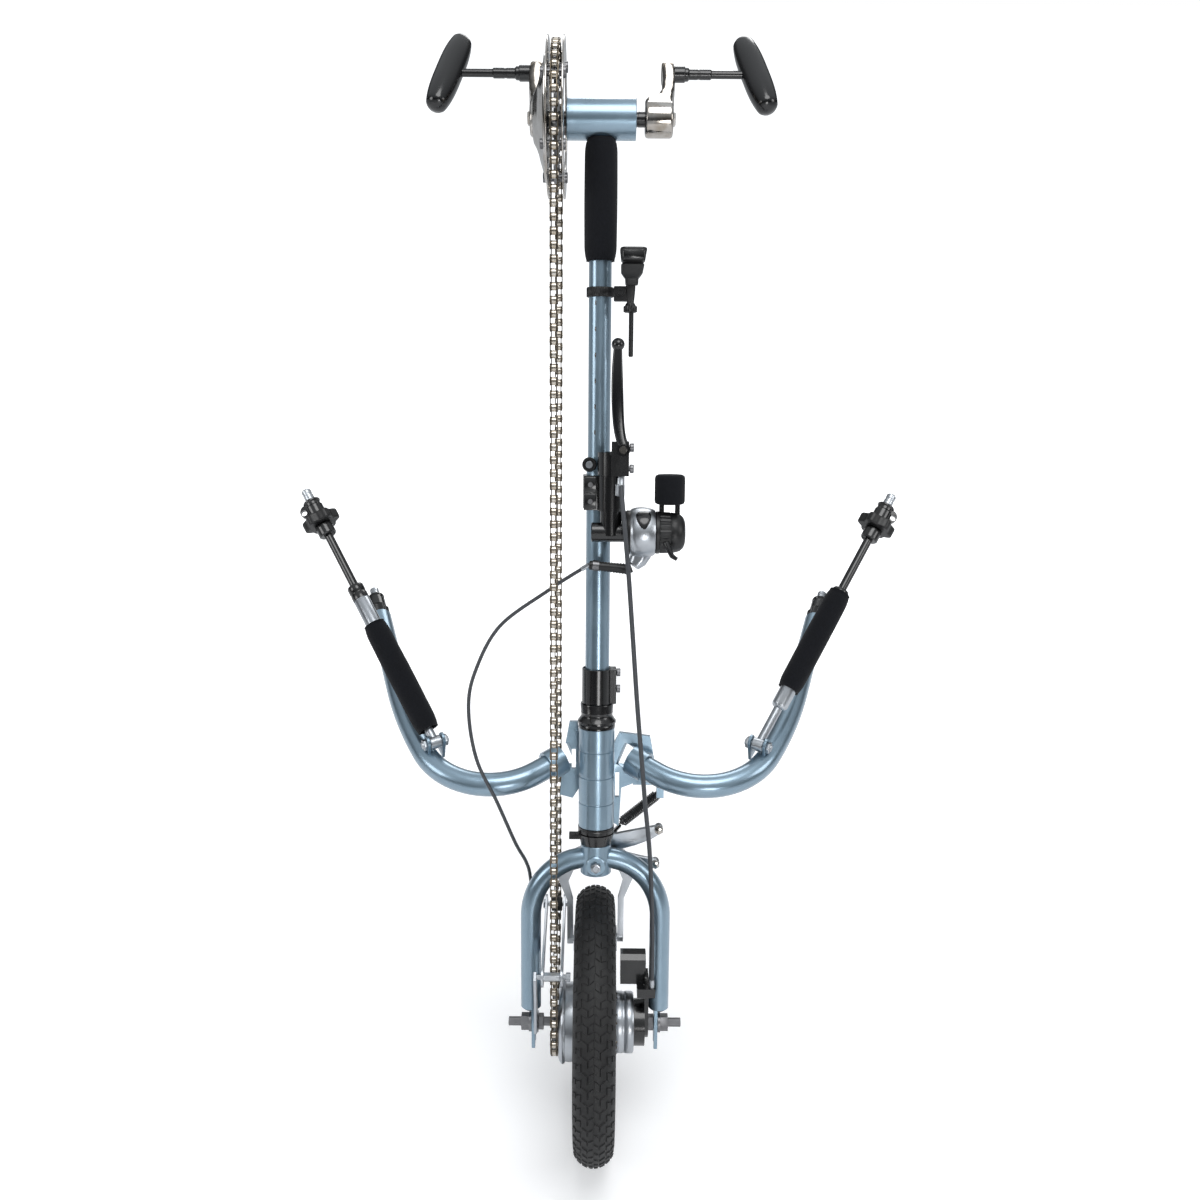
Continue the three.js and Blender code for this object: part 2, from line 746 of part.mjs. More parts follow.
function tensionerCage() {
  const span = jockeyCentre.clone().sub(cagePivot);
  const shape = new THREE.Shape();
  shape.absarc(0, 0, cage.eye, degrees(90), degrees(270));
  shape.lineTo(span.length() / 2, -cage.waist);
  shape.absarc(span.length(), 0, cage.eye, degrees(-90), degrees(90));
  shape.lineTo(span.length() / 2, cage.waist);
  const turn = new THREE.Quaternion().setFromAxisAngle(axisX, span.angle());
  const plates = [cage.outer, cage.inner].map((x) =>
    placed(raised(shape, x, x + cage.plate, boltSides), at(0, 0, 0), acrossX));
  const bar = (u, from, to, radius, sides) => rod(at(from, u, 0), at(to, u, 0), radius, sides);
  const far = cage.inner + cage.plate;
  const sleeve = bar(0, cage.outer, far, cage.sleeveRadius, boltSides);
  const pin = bar(span.length(), cage.outer - cage.cap, far + cage.cap, cage.boltRadius, boltSides);
  const caps = [bar(span.length(), cage.outer - cage.cap, cage.outer + bite, cage.capRadius, hexSides)];
  const bore = bar(0, cage.outer * 2, 0, keeper.boltRadius + clearance, smallSides);
  const arm = cut(join(...plates, sleeve, pin, ...caps), bore);
  return placed(arm, at(0, cagePivot.x, cagePivot.y), turn);
}
piece("tensioner_cage", tensionerCage(), satinAlloy);

const jockeyHub = { radius: 8 };

function jockeyWheel() {
  const teeth = acrossPlate(
    toothedOutline(jockeyTeeth, jockeyPhase),
    -chainPlane - tooth.thickness / 2,
    -chainPlane + tooth.thickness / 2,
    jockeyCentre,
  );
  const centre = (x) => at(x, jockeyCentre.x, jockeyCentre.y);
  const from = cage.outer + cage.plate + clearance;
  const to = cage.inner - clearance;
  const boss = rod(centre(from), centre(to), jockeyHub.radius, smallSides);
  const bore = rod(centre(cage.outer), centre(0), cage.boltRadius + clearance, smallSides);
  return cut(join(teeth, boss), bore);
}
piece("jockey_wheel", jockeyWheel(), blackPlastic);

// Crank set
const crankSet = new THREE.Group();
crankSet.position.z = mastLength;
steering.add(crankSet);
const guard = { outer: -52.6, inner: -37, thickness: 1.6, bore: 48 };
const ringBolt = { count: 5, circle: 55, radius: 4, sides: 6, head: 2 };
const ringBore = 47;
const plateSides = 28;

function boredPlate(outline, x, thickness, bore) {
  outline.holes.push(new THREE.Path().absarc(0, 0, bore, 0, degrees(360), true));
  const plate = acrossPlate(outline, x, x + thickness, plane(0, 0), plateSides);
  const holes = [];
  for (let i = 0; i < ringBolt.count; i++) {
    holes.push(ringBoltRod(i, x - overrun, x + thickness + overrun, ringBolt.radius + clearance));
  }
  return cut(plate, ...holes);
}

function ringBoltRod(i, from, to, radius) {
  const turn = (i / ringBolt.count) * degrees(360);
  const [y, z] = [ringBolt.circle * Math.cos(turn), ringBolt.circle * Math.sin(turn)];
  return rod(at(from, y, z), at(to, y, z), radius, ringBolt.sides);
}

piece(
  "chainring",
  boredPlate(
    toothedOutline(ringTeeth, ringPhase),
    -chainPlane - tooth.thickness / 2,
    tooth.thickness,
    ringBore,
  ),
  darkSteel,
  crankSet,
);
piece("outer_guard", boredPlate(disc(guardRadius), guard.outer, guard.thickness, guard.bore), satinAlloy, crankSet);
piece("inner_guard", boredPlate(disc(guardRadius), guard.inner, guard.thickness, guard.bore), satinAlloy, crankSet);

const spindle = { left: -62, right: 66 };
piece(
  "crank_spindle",
  rod(at(spindle.left, 0, 0), at(spindle.right, 0, 0), spindleRadius, smallSides),
  darkSteel,
  crankSet,
);

// Crank arms: the outline seen from the side crossed with the outline seen from the front
const crank = { bossInner: 42.6, bossOuter: 70, endInner: 64, endRadius: 12, leftBossInner: -53, studRadius: 6 };
const crankEndOuter = crank.endInner + crankThickness;
const crankSweepShares = [[0.14, 0], [0.3, 0.2], [0.5, 0.62], [0.72, 0.93], [0.86, 1]];
const crankTurn = new THREE.Quaternion().setFromAxisAngle(axisX, -degrees(crankAngle));

function crankArm(side) {
  const sideShape = new THREE.Shape();
  sideShape.absarc(0, 0, crankBossRadius, degrees(180), degrees(360));
  sideShape.absarc(0, crankLength, crank.endRadius, 0, degrees(180));
  const bossInner = side < 0 ? -crank.leftBossInner : crank.bossInner;
  const innerEdge = crankSweepShares.map(([u, out]) => [
    bossInner + out * (crank.endInner - bossInner),
    u * crankLength,
  ]);
  const outerEdge = crankSweepShares.map(([u, out]) => [
    crank.bossOuter + out * (crankEndOuter - crank.bossOuter),
    u * crankLength,
  ]);
  const low = -crankBossRadius - overrun;
  const high = crankLength + crankBossRadius;
  const front = [
    [bossInner, low],
    ...innerEdge,
    [crank.endInner, high],
    [crankEndOuter, high],
    ...outerEdge.reverse(),
    [crank.bossOuter, low],
  ];
  const wide = crankBossRadius + overrun;
  const sweep = placed(
    raised(front.map(([x, u]) => [side * x, u]), -wide, wide),
    at(0, 0, 0),
    new THREE.Quaternion().setFromAxisAngle(axisX, degrees(90)),
  );
  const arm = acrossPlate(sideShape, -crankEndOuter - overrun, crankEndOuter + overrun, plane(0, 0), boltSides);
  return placed(arm.intersect(sweep), at(0, 0, 0), crankTurn);
}

const crankEnd = plane(Math.sin(degrees(crankAngle)), Math.cos(degrees(crankAngle))).multiplyScalar(crankLength);
const spindleBore = rod(
  at(spindle.left - clearance, 0, 0),
  at(spindle.right + clearance, 0, 0),
  spindleRadius + clearance,
  smallSides,
);
const endSpot = (x) => at(x, crankEnd.x, crankEnd.y);
const studBore = rod(endSpot(-crankEndOuter * 2), endSpot(crankEndOuter * 2), crank.studRadius + clearance, boltSides);

const spider = { face: -53, rim: 60, lip: 2, dome: 40, domeOut: -60, waist: 22, waistOut: -67 };

function leftCrank() {
  const dome = aboutX(
    [
      [0, spider.face],
      [spider.rim, spider.face],
      [spider.rim, spider.face - spider.lip],
      [spider.dome, spider.domeOut],
      [spider.waist, spider.waistOut],
      [0, spider.waistOut],
    ],
    roundSides,
  );
  const boltEnd = guard.inner + guard.thickness;
  const bolts = [];
  for (let i = 0; i < ringBolt.count; i++) {
    bolts.push(ringBoltRod(i, spider.face - bite, boltEnd + ringBolt.head, ringBolt.radius));
  }
  return cut(join(crankArm(-1), dome, ...bolts), spindleBore, studBore);
}
piece("left_crank", leftCrank(), chrome, crankSet);
piece("right_crank", cut(crankArm(1), spindleBore, studBore), chrome, crankSet);

// Handles: a spindle screwed into each crank end, and an upright grip that turns on it
const handle = { stud: 66, shoulder: 8.5, shoulderEnd: 91, neck: 5.5, neckEnd: 117.5, rod: 4.3, rodEnd: 171 };
const grip = { endRadius: 10, steps: 6 };

for (const [name, side] of [["left", -1], ["right", 1]]) {
  const span = (from, to, radius, sides) => rod(endSpot(side * from), endSpot(side * to), radius, sides);
  const handleSpindle = join(
    span(handle.stud, crankEndOuter + clearance + bite, crank.studRadius, boltSides),
    span(crankEndOuter + clearance, handle.shoulderEnd, handle.shoulder, smallSides),
    span(handle.shoulderEnd - bite, handle.neckEnd, handle.neck, hexSides),
    span(handle.neckEnd - bite, handle.rodEnd, handle.rod, boltSides),
  );
  piece(`${name}_handle_spindle`, handleSpindle, blackPaint, crankSet);

  const half = gripLength / 2;
  const profile = [[0, -half]];
  for (let i = 0; i <= grip.steps; i++) {
    const share = (2 * i) / grip.steps - 1;
    const radius = gripRadius - (gripRadius - grip.endRadius) * share ** 4;
    profile.push([radius, share * (half - grip.endRadius / 3)]);
  }
  profile.push([0, half]);
  const barrel = turned(profile, smallSides);
  const reach = side * handleReach;
  const tilt = at(
    -side * Math.sin(degrees(gripLean)),
    Math.cos(degrees(gripLean)) * Math.sin(degrees(gripSlope)),
    Math.cos(degrees(gripLean)) * Math.cos(degrees(gripSlope)),
  );
  const upright = placed(barrel, endSpot(reach), along(at(0, 0, 0), tilt));
  const bore = span(0, handle.rodEnd + clearance, handle.rod + clearance, smallSides);
  piece(`${name}_grip`, cut(upright, bore), glossRubber, crankSet);
}

// Fork: crown and steerer in one piece, two welded blades and the headset's moving parts
const crownTop = crownBottom + crownHeight;
const crownMiddle = crownBottom + crownHeight / 2;
const steererBore = steererRadius - steererWall;
const brakeBolt = { up: 188.2, radius: 3.5, front: -24, rear: 40, nutRadius: 6, nutStart: 18, nut: 5 };
const lobe = { radius: 11, front: -18 };
const onSteering = (s) => at(0, 0, s);

function forkCrown() {
  const body = turned(
    [
      [0, crownBottom],
      [crownRadius, crownBottom],
      [crownRadius, crownTop],
      [steererRadius, crownTop],
      [steererRadius, steererTop],
      [steererBore, steererTop],
      [steererBore, lowerMastBottom - clearance],
      [0, lowerMastBottom - clearance],
    ],
    roundSides,
  );
  const bolt = (from, to, radius, sides) => rod(at(0, from, brakeBolt.up), at(0, to, brakeBolt.up), radius, sides);
  return join(
    body,
    bolt(lobe.front, 0, lobe.radius, smallSides),
    bolt(brakeBolt.front, brakeBolt.rear, brakeBolt.radius, boltSides),
    bolt(-brakeBolt.nutStart - brakeBolt.nut, -brakeBolt.nutStart + bite, brakeBolt.nutRadius, hexSides),
  );
}
piece("fork_crown", forkCrown(), paint);

const blade = { bottom: 17, bendSteps: 5, inside: 8 };
const dropout = { top: 48, bottom: -27, half: 12, slotHalf: 5.3 };

const shiftStop = { inner: 64, outer: 72, front: 6, rear: 20, bottom: 26, top: 34 };

function forkBlade(side) {
  const stations = [at(side * bladeSpread, 0, blade.bottom)];
  const across = bladeSpread - blade.inside;
  const rise = crownMiddle - bladeStraightTop;
  for (let i = 0; i <= blade.bendSteps; i++) {
    const turn = (degrees(90) * i) / blade.bendSteps;
    const x = bladeSpread - across * (1 - Math.cos(turn));
    stations.push(at(side * x, 0, bladeStraightTop + rise * Math.sin(turn)));
  }
  const tube = tubeThrough(stations, bladeRadius, 0, smallSides);
  const shape = new THREE.Shape();
  shape.moveTo(-dropout.half, 0);
  shape.lineTo(-dropout.slotHalf * 2, dropout.bottom);
  shape.lineTo(-dropout.slotHalf, dropout.bottom);
  shape.lineTo(-dropout.slotHalf, 0);
  shape.absarc(0, 0, dropout.slotHalf, degrees(180), 0, true);
  shape.lineTo(dropout.slotHalf, dropout.bottom);
  shape.lineTo(dropout.slotHalf * 2, dropout.bottom);
  shape.lineTo(dropout.half, 0);
  shape.lineTo(bladeRadius / 2, dropout.top);
  shape.lineTo(-bladeRadius / 2, dropout.top);
  const [low, high] = side < 0 ? [-dropoutOuter, -dropoutInner] : [dropoutInner, dropoutOuter];
  const plate = acrossPlate(shape, low, high, plane(0, 0), boltSides);
  const crown = rod(onSteering(0), onSteering(steererTop), crownRadius + clearance, roundSides);
  const lug = block(
    at(-shiftStop.outer, shiftStop.front, shiftStop.bottom),
    at(-shiftStop.inner, shiftStop.rear, shiftStop.top),
  );
  const parts = side < 0 ? [tube, plate, lug] : [tube, plate];
  return cut(join(...parts), crown);
}
piece("left_fork_blade", forkBlade(-1), paint);
piece("right_fork_blade", forkBlade(1), paint);

const collar = { top: 20, height: 12.4, lugOut: 29, lugHigh: 6, lugFront: 8, armDrop: 6.2, armTip: 2.5, footOut: 26, footRear: 35 };
const collarBottom = crownTop + clearance;
const collarBore = steererRadius + clearance;
const springFoot = at(collar.footOut, collar.footRear, collarBottom + collar.height - collar.armDrop);

function crownCollar() {
  const ringPart = turned(
    [
      [collarBore, collarBottom],
      [crownRadius, collarBottom],
      [collar.top, collarBottom + collar.height],
      [collarBore, collarBottom + collar.height],
    ],
    roundSides,
  );
  const upperFace = collarBottom + collar.height;
  const lug = block(
    at(-collar.lugOut, -collar.lugFront, upperFace - collar.lugHigh),
    at(-crownRadius, 0, upperFace),
  );
  const arm = rod(
    at(crownRadius, crownRadius / 2, springFoot.z),
    springFoot,
    collar.armTip,
    hexSides,
  );
  return join(ringPart, lug, arm);
}
piece("crown_collar", crownCollar(), blackPaint);

const headTubeTop = headTubeBottom + headTubeLength;
const headTubeBore = headTubeRadius - headTubeWall;
const cup = { low: 7, high: 4.4, rise: 0.5, bearing: 8 };

// A cup presses its bearing into the end of the head tube.
function headsetCup(face, direction, height) {
  const ring = (from, to, radius) =>
    pipe(onSteering(Math.min(from, to)), onSteering(Math.max(from, to)), radius, collarBore);
  const seat = face + direction * clearance;
  return join(
    ring(seat, seat + direction * height, headTubeRadius + cup.rise),
    ring(seat + direction * bite, face - direction * cup.bearing, headTubeBore - clearance),
  );
}
piece("lower_headset_cup", headsetCup(headTubeBottom, -1, cup.low), blackPaint);
piece("upper_headset_cup", headsetCup(headTubeTop, 1, cup.high), blackPaint);

const groove = { depth: 0.9, half: 1.3 };
const grooveShares = [0.25, 0.516, 0.776];

function headTubeProfile() {
  const profile = [[headTubeBore, headTubeBottom], [headTubeRadius, headTubeBottom]];
  for (const share of grooveShares) {
    const centre = headTubeBottom + share * headTubeLength;
    profile.push([headTubeRadius, centre - groove.half]);
    profile.push([headTubeRadius - groove.depth, centre]);
    profile.push([headTubeRadius, centre + groove.half]);
  }
  return [...profile, [headTubeRadius, headTubeTop], [headTubeBore, headTubeTop]];
}
piece("head_tube", turned(headTubeProfile(), roundSides), paint);

const cap = { skirt: 20.3, skirtHeight: 3, waist: 16.5, waistHeight: 8, top: 18, height: 21.5 };
const capBottom = headTubeTop + clearance * 2 + cup.high;
piece(
  "headset_cap",
  turned(
    [
      [collarBore, capBottom],
      [cap.skirt, capBottom],
      [cap.skirt, capBottom + cap.skirtHeight],
      [cap.waist, capBottom + cap.waistHeight],
      [cap.top, capBottom + cap.height],
      [collarBore, capBottom + cap.height],
    ],
    roundSides,
  ),
  blackPaint,
);

// Mast clamp at the steerer's top: a split sleeve with two bolts on the right
const sleeve = { radius: 16, height: 37.5, earOut: 20, earFront: -9, slit: 1.5, boltRadius: 2.6, boltBack: 6 };
const sleeveBoltShares = [0.4, 0.87];
const sleeveBottom = capBottom + cap.height + clearance;

function mastClamp() {
  const ringPart = pipe(onSteering(sleeveBottom), onSteering(sleeveBottom + sleeve.height), sleeve.radius, collarBore);
  const ear = block(
    at(sleeve.radius - sleeve.boltRadius, sleeve.earFront, sleeveBottom),
    at(sleeve.earOut, -sleeve.earFront, sleeveBottom + sleeve.height),
  );
  const slit = block(
    at(0, -sleeve.slit / 2, sleeveBottom - overrun),
    at(sleeve.earOut + overrun, sleeve.slit / 2, sleeveBottom + sleeve.height + overrun),
  );
  const bolts = sleeveBoltShares.map((share) => {
    const up = sleeveBottom + share * sleeve.height;
    const x = sleeve.earOut - sleeve.boltRadius;
    return rod(at(x, sleeve.earFront - overrun, up), at(x, sleeve.boltBack, up), sleeve.boltRadius, hexSides);
  });
  return join(cut(ringPart, slit), cut(ear, slit, rod(onSteering(0), onSteering(mastLength), collarBore, roundSides)), ...bolts);
}
piece("mast_clamp", mastClamp(), blackPaint);
piece(
  "lower_mast",
  pipe(onSteering(lowerMastBottom), onSteering(lowerMastTop), lowerMastRadius, lowerMastRadius - mastWall),
  paint,
);

// Height clamp: it closes the lower tube on the upper one, and holds the control bar.
const controlBar = { x: 12.6, front: -25, bottom: 547, top: 628, stubRise: 3, stubLeft: -7, stubRight: 86, stubRadius: 10 };
const heightClamp = { bottom: 572, height: 35, wall: 3.5, barWall: 2.5, left: -14.9, right: 3.3, front: -22, armBack: -6 };
const heightClampTop = heightClamp.bottom + heightClamp.height;
const barAt = (s) => at(controlBar.x, controlBar.front, s);

function heightClampBody() {
  const outer = lowerMastRadius + heightClamp.wall;
  const ringPart = rod(onSteering(heightClamp.bottom), onSteering(heightClampTop), outer, roundSides);
  const lug = block(
    at(heightClamp.left, heightClamp.front, heightClamp.bottom),
    at(heightClamp.right, 0, heightClampTop),
  );
  const barClamp = rod(
    barAt(heightClamp.bottom),
    barAt(heightClampTop),
    controlBarRadius + heightClamp.barWall,
    smallSides,
  );
  const mast = rod(onSteering(0), onSteering(mastLength), lowerMastRadius + clearance, roundSides);
  const bar = rod(barAt(0), barAt(mastLength), controlBarRadius + clearance, smallSides);
  return cut(join(ringPart, lug, barClamp), mast, bar);
}
piece("height_clamp", heightClampBody(), blackPaint);

const stubUp = controlBar.bottom + controlBar.stubRise;
const stubAt = (x) => at(x, controlBar.front, stubUp);

function controlBarBody() {
  const post = rod(barAt(controlBar.bottom), barAt(controlBar.top), controlBarRadius, smallSides);
  const stub = rod(stubAt(controlBar.stubLeft), stubAt(controlBar.stubRight), controlBar.stubRadius, smallSides);
  return join(post, stub);
}
piece("control_bar", controlBarBody(), blackPaint);

const shifter = { left: 26.6, right: 51.6, gripRight: 88, ribs: 6, ribDepth: 1.2, lugDown: 30, lugLeft: 30, lugRight: 42 };
const shifterBore = controlBar.stubRadius + clearance;
const gripBore = shifterBore / Math.cos(degrees(180) / smallSides);

function shifterBody() {
  const housingPart = pipe(stubAt(shifter.left), stubAt(shifter.right), shifterRadius, shifterBore, roundSides);
  const lug = block(
    at(shifter.lugLeft, controlBar.front - shifterBore, stubUp - shifter.lugDown),
    at(shifter.lugRight, controlBar.front, stubUp - shifterBore - overrun),
  );
  return join(housingPart, lug);
}
piece("shifter_body", shifterBody(), satinAlloy);

function shifterGripProfile() {
  const length = shifter.gripRight - shifter.right - clearance;
  const profile = [[gripBore, 0]];
  for (let i = 0; i <= shifter.ribs; i++) {
    const radius = shifterGripRadius - (i % 2 === 0 ? 0 : shifter.ribDepth);
    profile.push([radius, (length * i) / shifter.ribs]);
  }
  return [...profile, [gripBore, length]];
}
piece(
  "shifter_grip",
  placed(turned(shifterGripProfile(), smallSides), stubAt(shifter.right + clearance), zToX),
  glossRubber,
);

// Brake lever on its perch, clamped round the control bar above the height clamp
const perch = { bottom: 608, top: 642, wall: 3, bodyRight: 30, bodyFront: -46, pivotX: 24, pivotUp: 634, pinRadius: 2 };
const leverPathShares = [[0, 0], [0.15, 0.25], [0.45, 0.66], [1, 1]];
const perchPivot = at(perch.pivotX, perch.bodyFront + perch.wall * 2, perch.pivotUp);
const lever = { length: 102, lean: -8, footUp: 12, footOut: 2, radius: 4.2, ball: 6.5, tang: 3, eye: 5 };
lever.tip = at(perch.pivotX + lever.lean, perch.bodyFront, perch.pivotUp + lever.length);
lever.foot = at(perch.pivotX + lever.footOut, perch.bodyFront + lever.footOut, perch.pivotUp + lever.footUp);

function leverPerch() {
  const band = pipe(barAt(perch.bottom), barAt(perch.top - controlBarRadius), controlBarRadius + perch.wall,
    controlBarRadius + clearance, smallSides);
  const body = block(
    at(controlBar.x, perch.bodyFront, perch.bottom),
    at(perch.bodyRight, controlBar.front, perch.top),
  );
  const bar = rod(barAt(0), barAt(mastLength), controlBarRadius + clearance, smallSides);
  const slotHalf = lever.tang / 2 + clearance;
  const slot = block(
    at(controlBar.x - overrun, perchPivot.y - slotHalf, perch.pivotUp - lever.eye - clearance),
    at(perch.bodyRight + overrun, perchPivot.y + slotHalf, perch.top + overrun),
  );
  const pin = rod(
    at(perch.pivotX, perch.bodyFront - overrun / 2, perch.pivotUp),
    at(perch.pivotX, controlBar.front - overrun, perch.pivotUp),
    perch.pinRadius,
    boltSides,
  );
  return join(cut(join(band, body), bar, slot), pin);
}
piece("lever_perch", leverPerch(), blackPaint);

function brakeLever() {
  const path = leverPathShares.map(([across, up]) => at(
    lever.foot.x + across * (lever.tip.x - lever.foot.x),
    lever.foot.y + up * (lever.tip.y - lever.foot.y),
    lever.foot.z + up * (lever.tip.z - lever.foot.z),
  ));
  const bladePart = tubeThrough(path, lever.radius, 0, boltSides);
  const ball = placed(solidOf(new THREE.SphereGeometry(lever.ball, smallSides, boltSides)), lever.tip);
  const half = lever.tang / 2;
  const eye = rod(
    at(perch.pivotX, perchPivot.y - half, perch.pivotUp),
    at(perch.pivotX, perchPivot.y + half, perch.pivotUp),
    lever.eye,
    smallSides,
  );
  const tang = block(
    at(perch.pivotX - lever.eye, perchPivot.y - half, perch.pivotUp),
    at(perch.pivotX + lever.eye, perchPivot.y + half, lever.foot.z + overrun),
  );
  const hole = rod(
    at(perch.pivotX, perch.bodyFront * 2, perch.pivotUp),
    at(perch.pivotX, 0, perch.pivotUp),
    perch.pinRadius + clearance,
    smallSides,
  );
  return cut(join(bladePart, ball, eye, tang), hole);
}
piece("brake_lever", brakeLever(), glossRubber);

// Upper mast with the crank's bearing shell, its foam sleeve and the lamp
const upperMastRadius = lowerMastRadius - mastWall - clearance;
const shellHalf = shellLength / 2;

function upperMast() {
  const tube = rod(onSteering(upperMastBottom), onSteering(mastLength), upperMastRadius);
  const shell = rod(at(-shellHalf, 0, mastLength), at(shellHalf, 0, mastLength), shellRadius, roundSides);
  const bore = rod(
    at(-shellHalf - overrun, 0, mastLength),
    at(shellHalf + overrun, 0, mastLength),
    shellBore,
    roundSides,
  );
  const inside = rod(
    onSteering(upperMastBottom - overrun),
    onSteering(mastLength),
    upperMastRadius - mastWall,
    boltSides,
  );
  return cut(join(tube, shell), bore, inside);
}
piece("upper_mast", upperMast(), paint);
piece(
  "crank_bearing",
  pipe(
    at(-shellHalf, 0, mastLength),
    at(shellHalf, 0, mastLength),
    shellBore - clearance,
    spindleRadius + clearance,
    smallSides,
  ),
  darkSteel,
);
const foamCover = 2;
const foamTop = mastLength - shellRadius + foamCover;
piece(
  "mast_foam",
  cut(
    pipe(
      onSteering(foamTop - mastFoamLength),
      onSteering(foamTop),
      mastFoamRadius,
      upperMastRadius + clearance,
      smallSides,
    ),
    rod(at(-shellHalf, 0, mastLength), at(shellHalf, 0, mastLength), shellRadius + clearance, roundSides),
  ),
  foamRubber,
);

const lampBase = mastLength - lampDrop;
const lampStrap = { bottom: lampBase, height: 10, wall: 2.2, right: 34 };
lampStrap.top = lampStrap.bottom + lampStrap.height;
const lamp = { left: 19, right: 45.5, height: 35, bandHeight: 10, front: -42, rear: -16, taper: 2.5 };
lamp.bottom = lampStrap.top;
lamp.waist = lamp.bottom + lamp.bandHeight;
lamp.top = lamp.bottom + lamp.height;
const lampPost = { x: 31, front: -18, hang: 59, radius: 2.5, nutDown: 7, nutHeight: 9, nutRadius: 8 };
lampPost.bottom = lampBase - lampPost.hang;
lampPost.nutTop = lampBase - lampPost.nutDown;
lampPost.nutBottom = lampPost.nutTop - lampPost.nutHeight;

function lampBracket() {
  const band = pipe(
    onSteering(lampStrap.bottom),
    onSteering(lampStrap.top - clearance),
    upperMastRadius + clearance + lampStrap.wall,
    upperMastRadius + clearance,
    smallSides,
  );
  const arm = block(
    at(upperMastRadius + clearance + lampStrap.wall / 2, lampPost.front - lampPost.radius * 2, lampStrap.bottom),
    at(lampStrap.right, 0, lampStrap.top - clearance),
  );
  const post = rod(
    at(lampPost.x, lampPost.front, lampPost.bottom),
    at(lampPost.x, lampPost.front, lampStrap.top - clearance),
    lampPost.radius,
    boltSides,
  );
  const nut = rod(
    at(lampPost.x - lampPost.nutRadius + lampPost.radius, lampPost.front, lampPost.nutBottom),
    at(lampPost.x - lampPost.nutRadius + lampPost.radius, lampPost.front, lampPost.nutTop),
    lampPost.nutRadius,
    boltSides,
  );
  return join(band, arm, post, nut);
}
piece("lamp_bracket", lampBracket(), blackPlastic);

function lampBody() {
  const outline = [
    [lamp.left + lamp.taper, lamp.bottom],
    [lamp.right - lamp.taper, lamp.bottom],
    [lamp.right - lamp.taper, lamp.waist],
    [lamp.right, lamp.top],
    [lamp.left, lamp.top],
    [lamp.left + lamp.taper, lamp.waist],
  ];
  const turn = new THREE.Quaternion().setFromAxisAngle(axisX, degrees(90));
  return placed(raised(outline, -lamp.rear, -lamp.front), at(0, 0, 0), turn);
}
piece("lamp", lampBody(), blackPlastic);

// Rim brake behind the crown: two arms that cross at the brake bolt
const brake = { first: 20, thickness: 6, eye: 10, padIn: 17.2, padOut: 24, padBottom: 78, padTop: 95, padFront: 12, padRear: 42 };
const brakeArmShares = [
  [0.1, 0.14], [0.8, 0], [1.02, -0.3], [0.77, -0.56], [0.76, -1.1], [0.6, -1.1], [0.61, -0.56], [0.74, -0.34],
  [0.6, -0.2], [0, -0.12],
];
const leftReachShares = [[1.66, 0.26], [1.75, 0.35], [0.5, 0.24]];
const rightReachShares = [[1.55, -0.2], [1.66, -0.1]];
const brakeReach = { across: 41, down: 96 };

function brakeArm(side, layer, reachShares) {
  const upright = new THREE.Quaternion().setFromAxisAngle(axisX, degrees(90));
  const front = brake.first + layer * (brake.thickness + clearance);
  const rear = front + brake.thickness;
  const flat = (outline) => placed(raised(outline, -rear, -front), at(0, 0, 0), upright);
  const place = ([across, up]) => [side * across * brakeReach.across, brakeBolt.up + up * brakeReach.down];
  const arm = flat(brakeArmShares.map(place));
  const reach = flat([[0, 0], ...reachShares].map(([across, up]) => [
    across * brakeReach.across,
    brakeBolt.up + up * brakeReach.down,
  ]));
  const along = (from, to, radius) =>
    rod(at(0, from, brakeBolt.up), at(0, to, brakeBolt.up), radius, smallSides);
  const pad = block(
    at(Math.min(side * brake.padIn, side * brake.padOut), brake.padFront, brake.padBottom),
    at(Math.max(side * brake.padIn, side * brake.padOut), brake.padRear, brake.padTop),
  );
  const holderUp = (brake.padBottom + brake.padTop) / 2 + bite * 2;
  const holder = rod(
    at(side * (brake.padOut - bite), (front + rear) / 2, holderUp),
    at(side * brakeReach.across * brakeArmShares[4][0], (front + rear) / 2, holderUp),
    brakeBolt.radius,
    boltSides,
  );
  const hole = along(front - overrun, rear + overrun, brakeBolt.radius + clearance);
  return cut(join(arm, reach, along(front, rear, brake.eye), pad, holder), hole);
}
piece("left_brake_arm", brakeArm(-1, 0, leftReachShares), satinAlloy);
piece("right_brake_arm", brakeArm(1, 1, rightReachShares), satinAlloy);

// Arms and struts are given in the object's frame. Each arm's centre line lies in one
// plane that rises rearward. A point of it is [across, along the plane].
const inArmPlane = (side, across, back) => at(
  side * across,
  armLift + back * Math.cos(degrees(armTilt)),
  armHeight + back * Math.sin(degrees(armTilt)),
);
const toSteering = (point) =>
  point.clone().sub(steering.position).applyAxisAngle(axisX, degrees(steeringLean));

const armLine = {
  innerTurn: -36, outerTurn: 60, endTurn: 73, gentleRadius: 450, centreBack: 82, bendSteps: 6, gentleSteps: 2,
  inner: 37, end: 252,
};

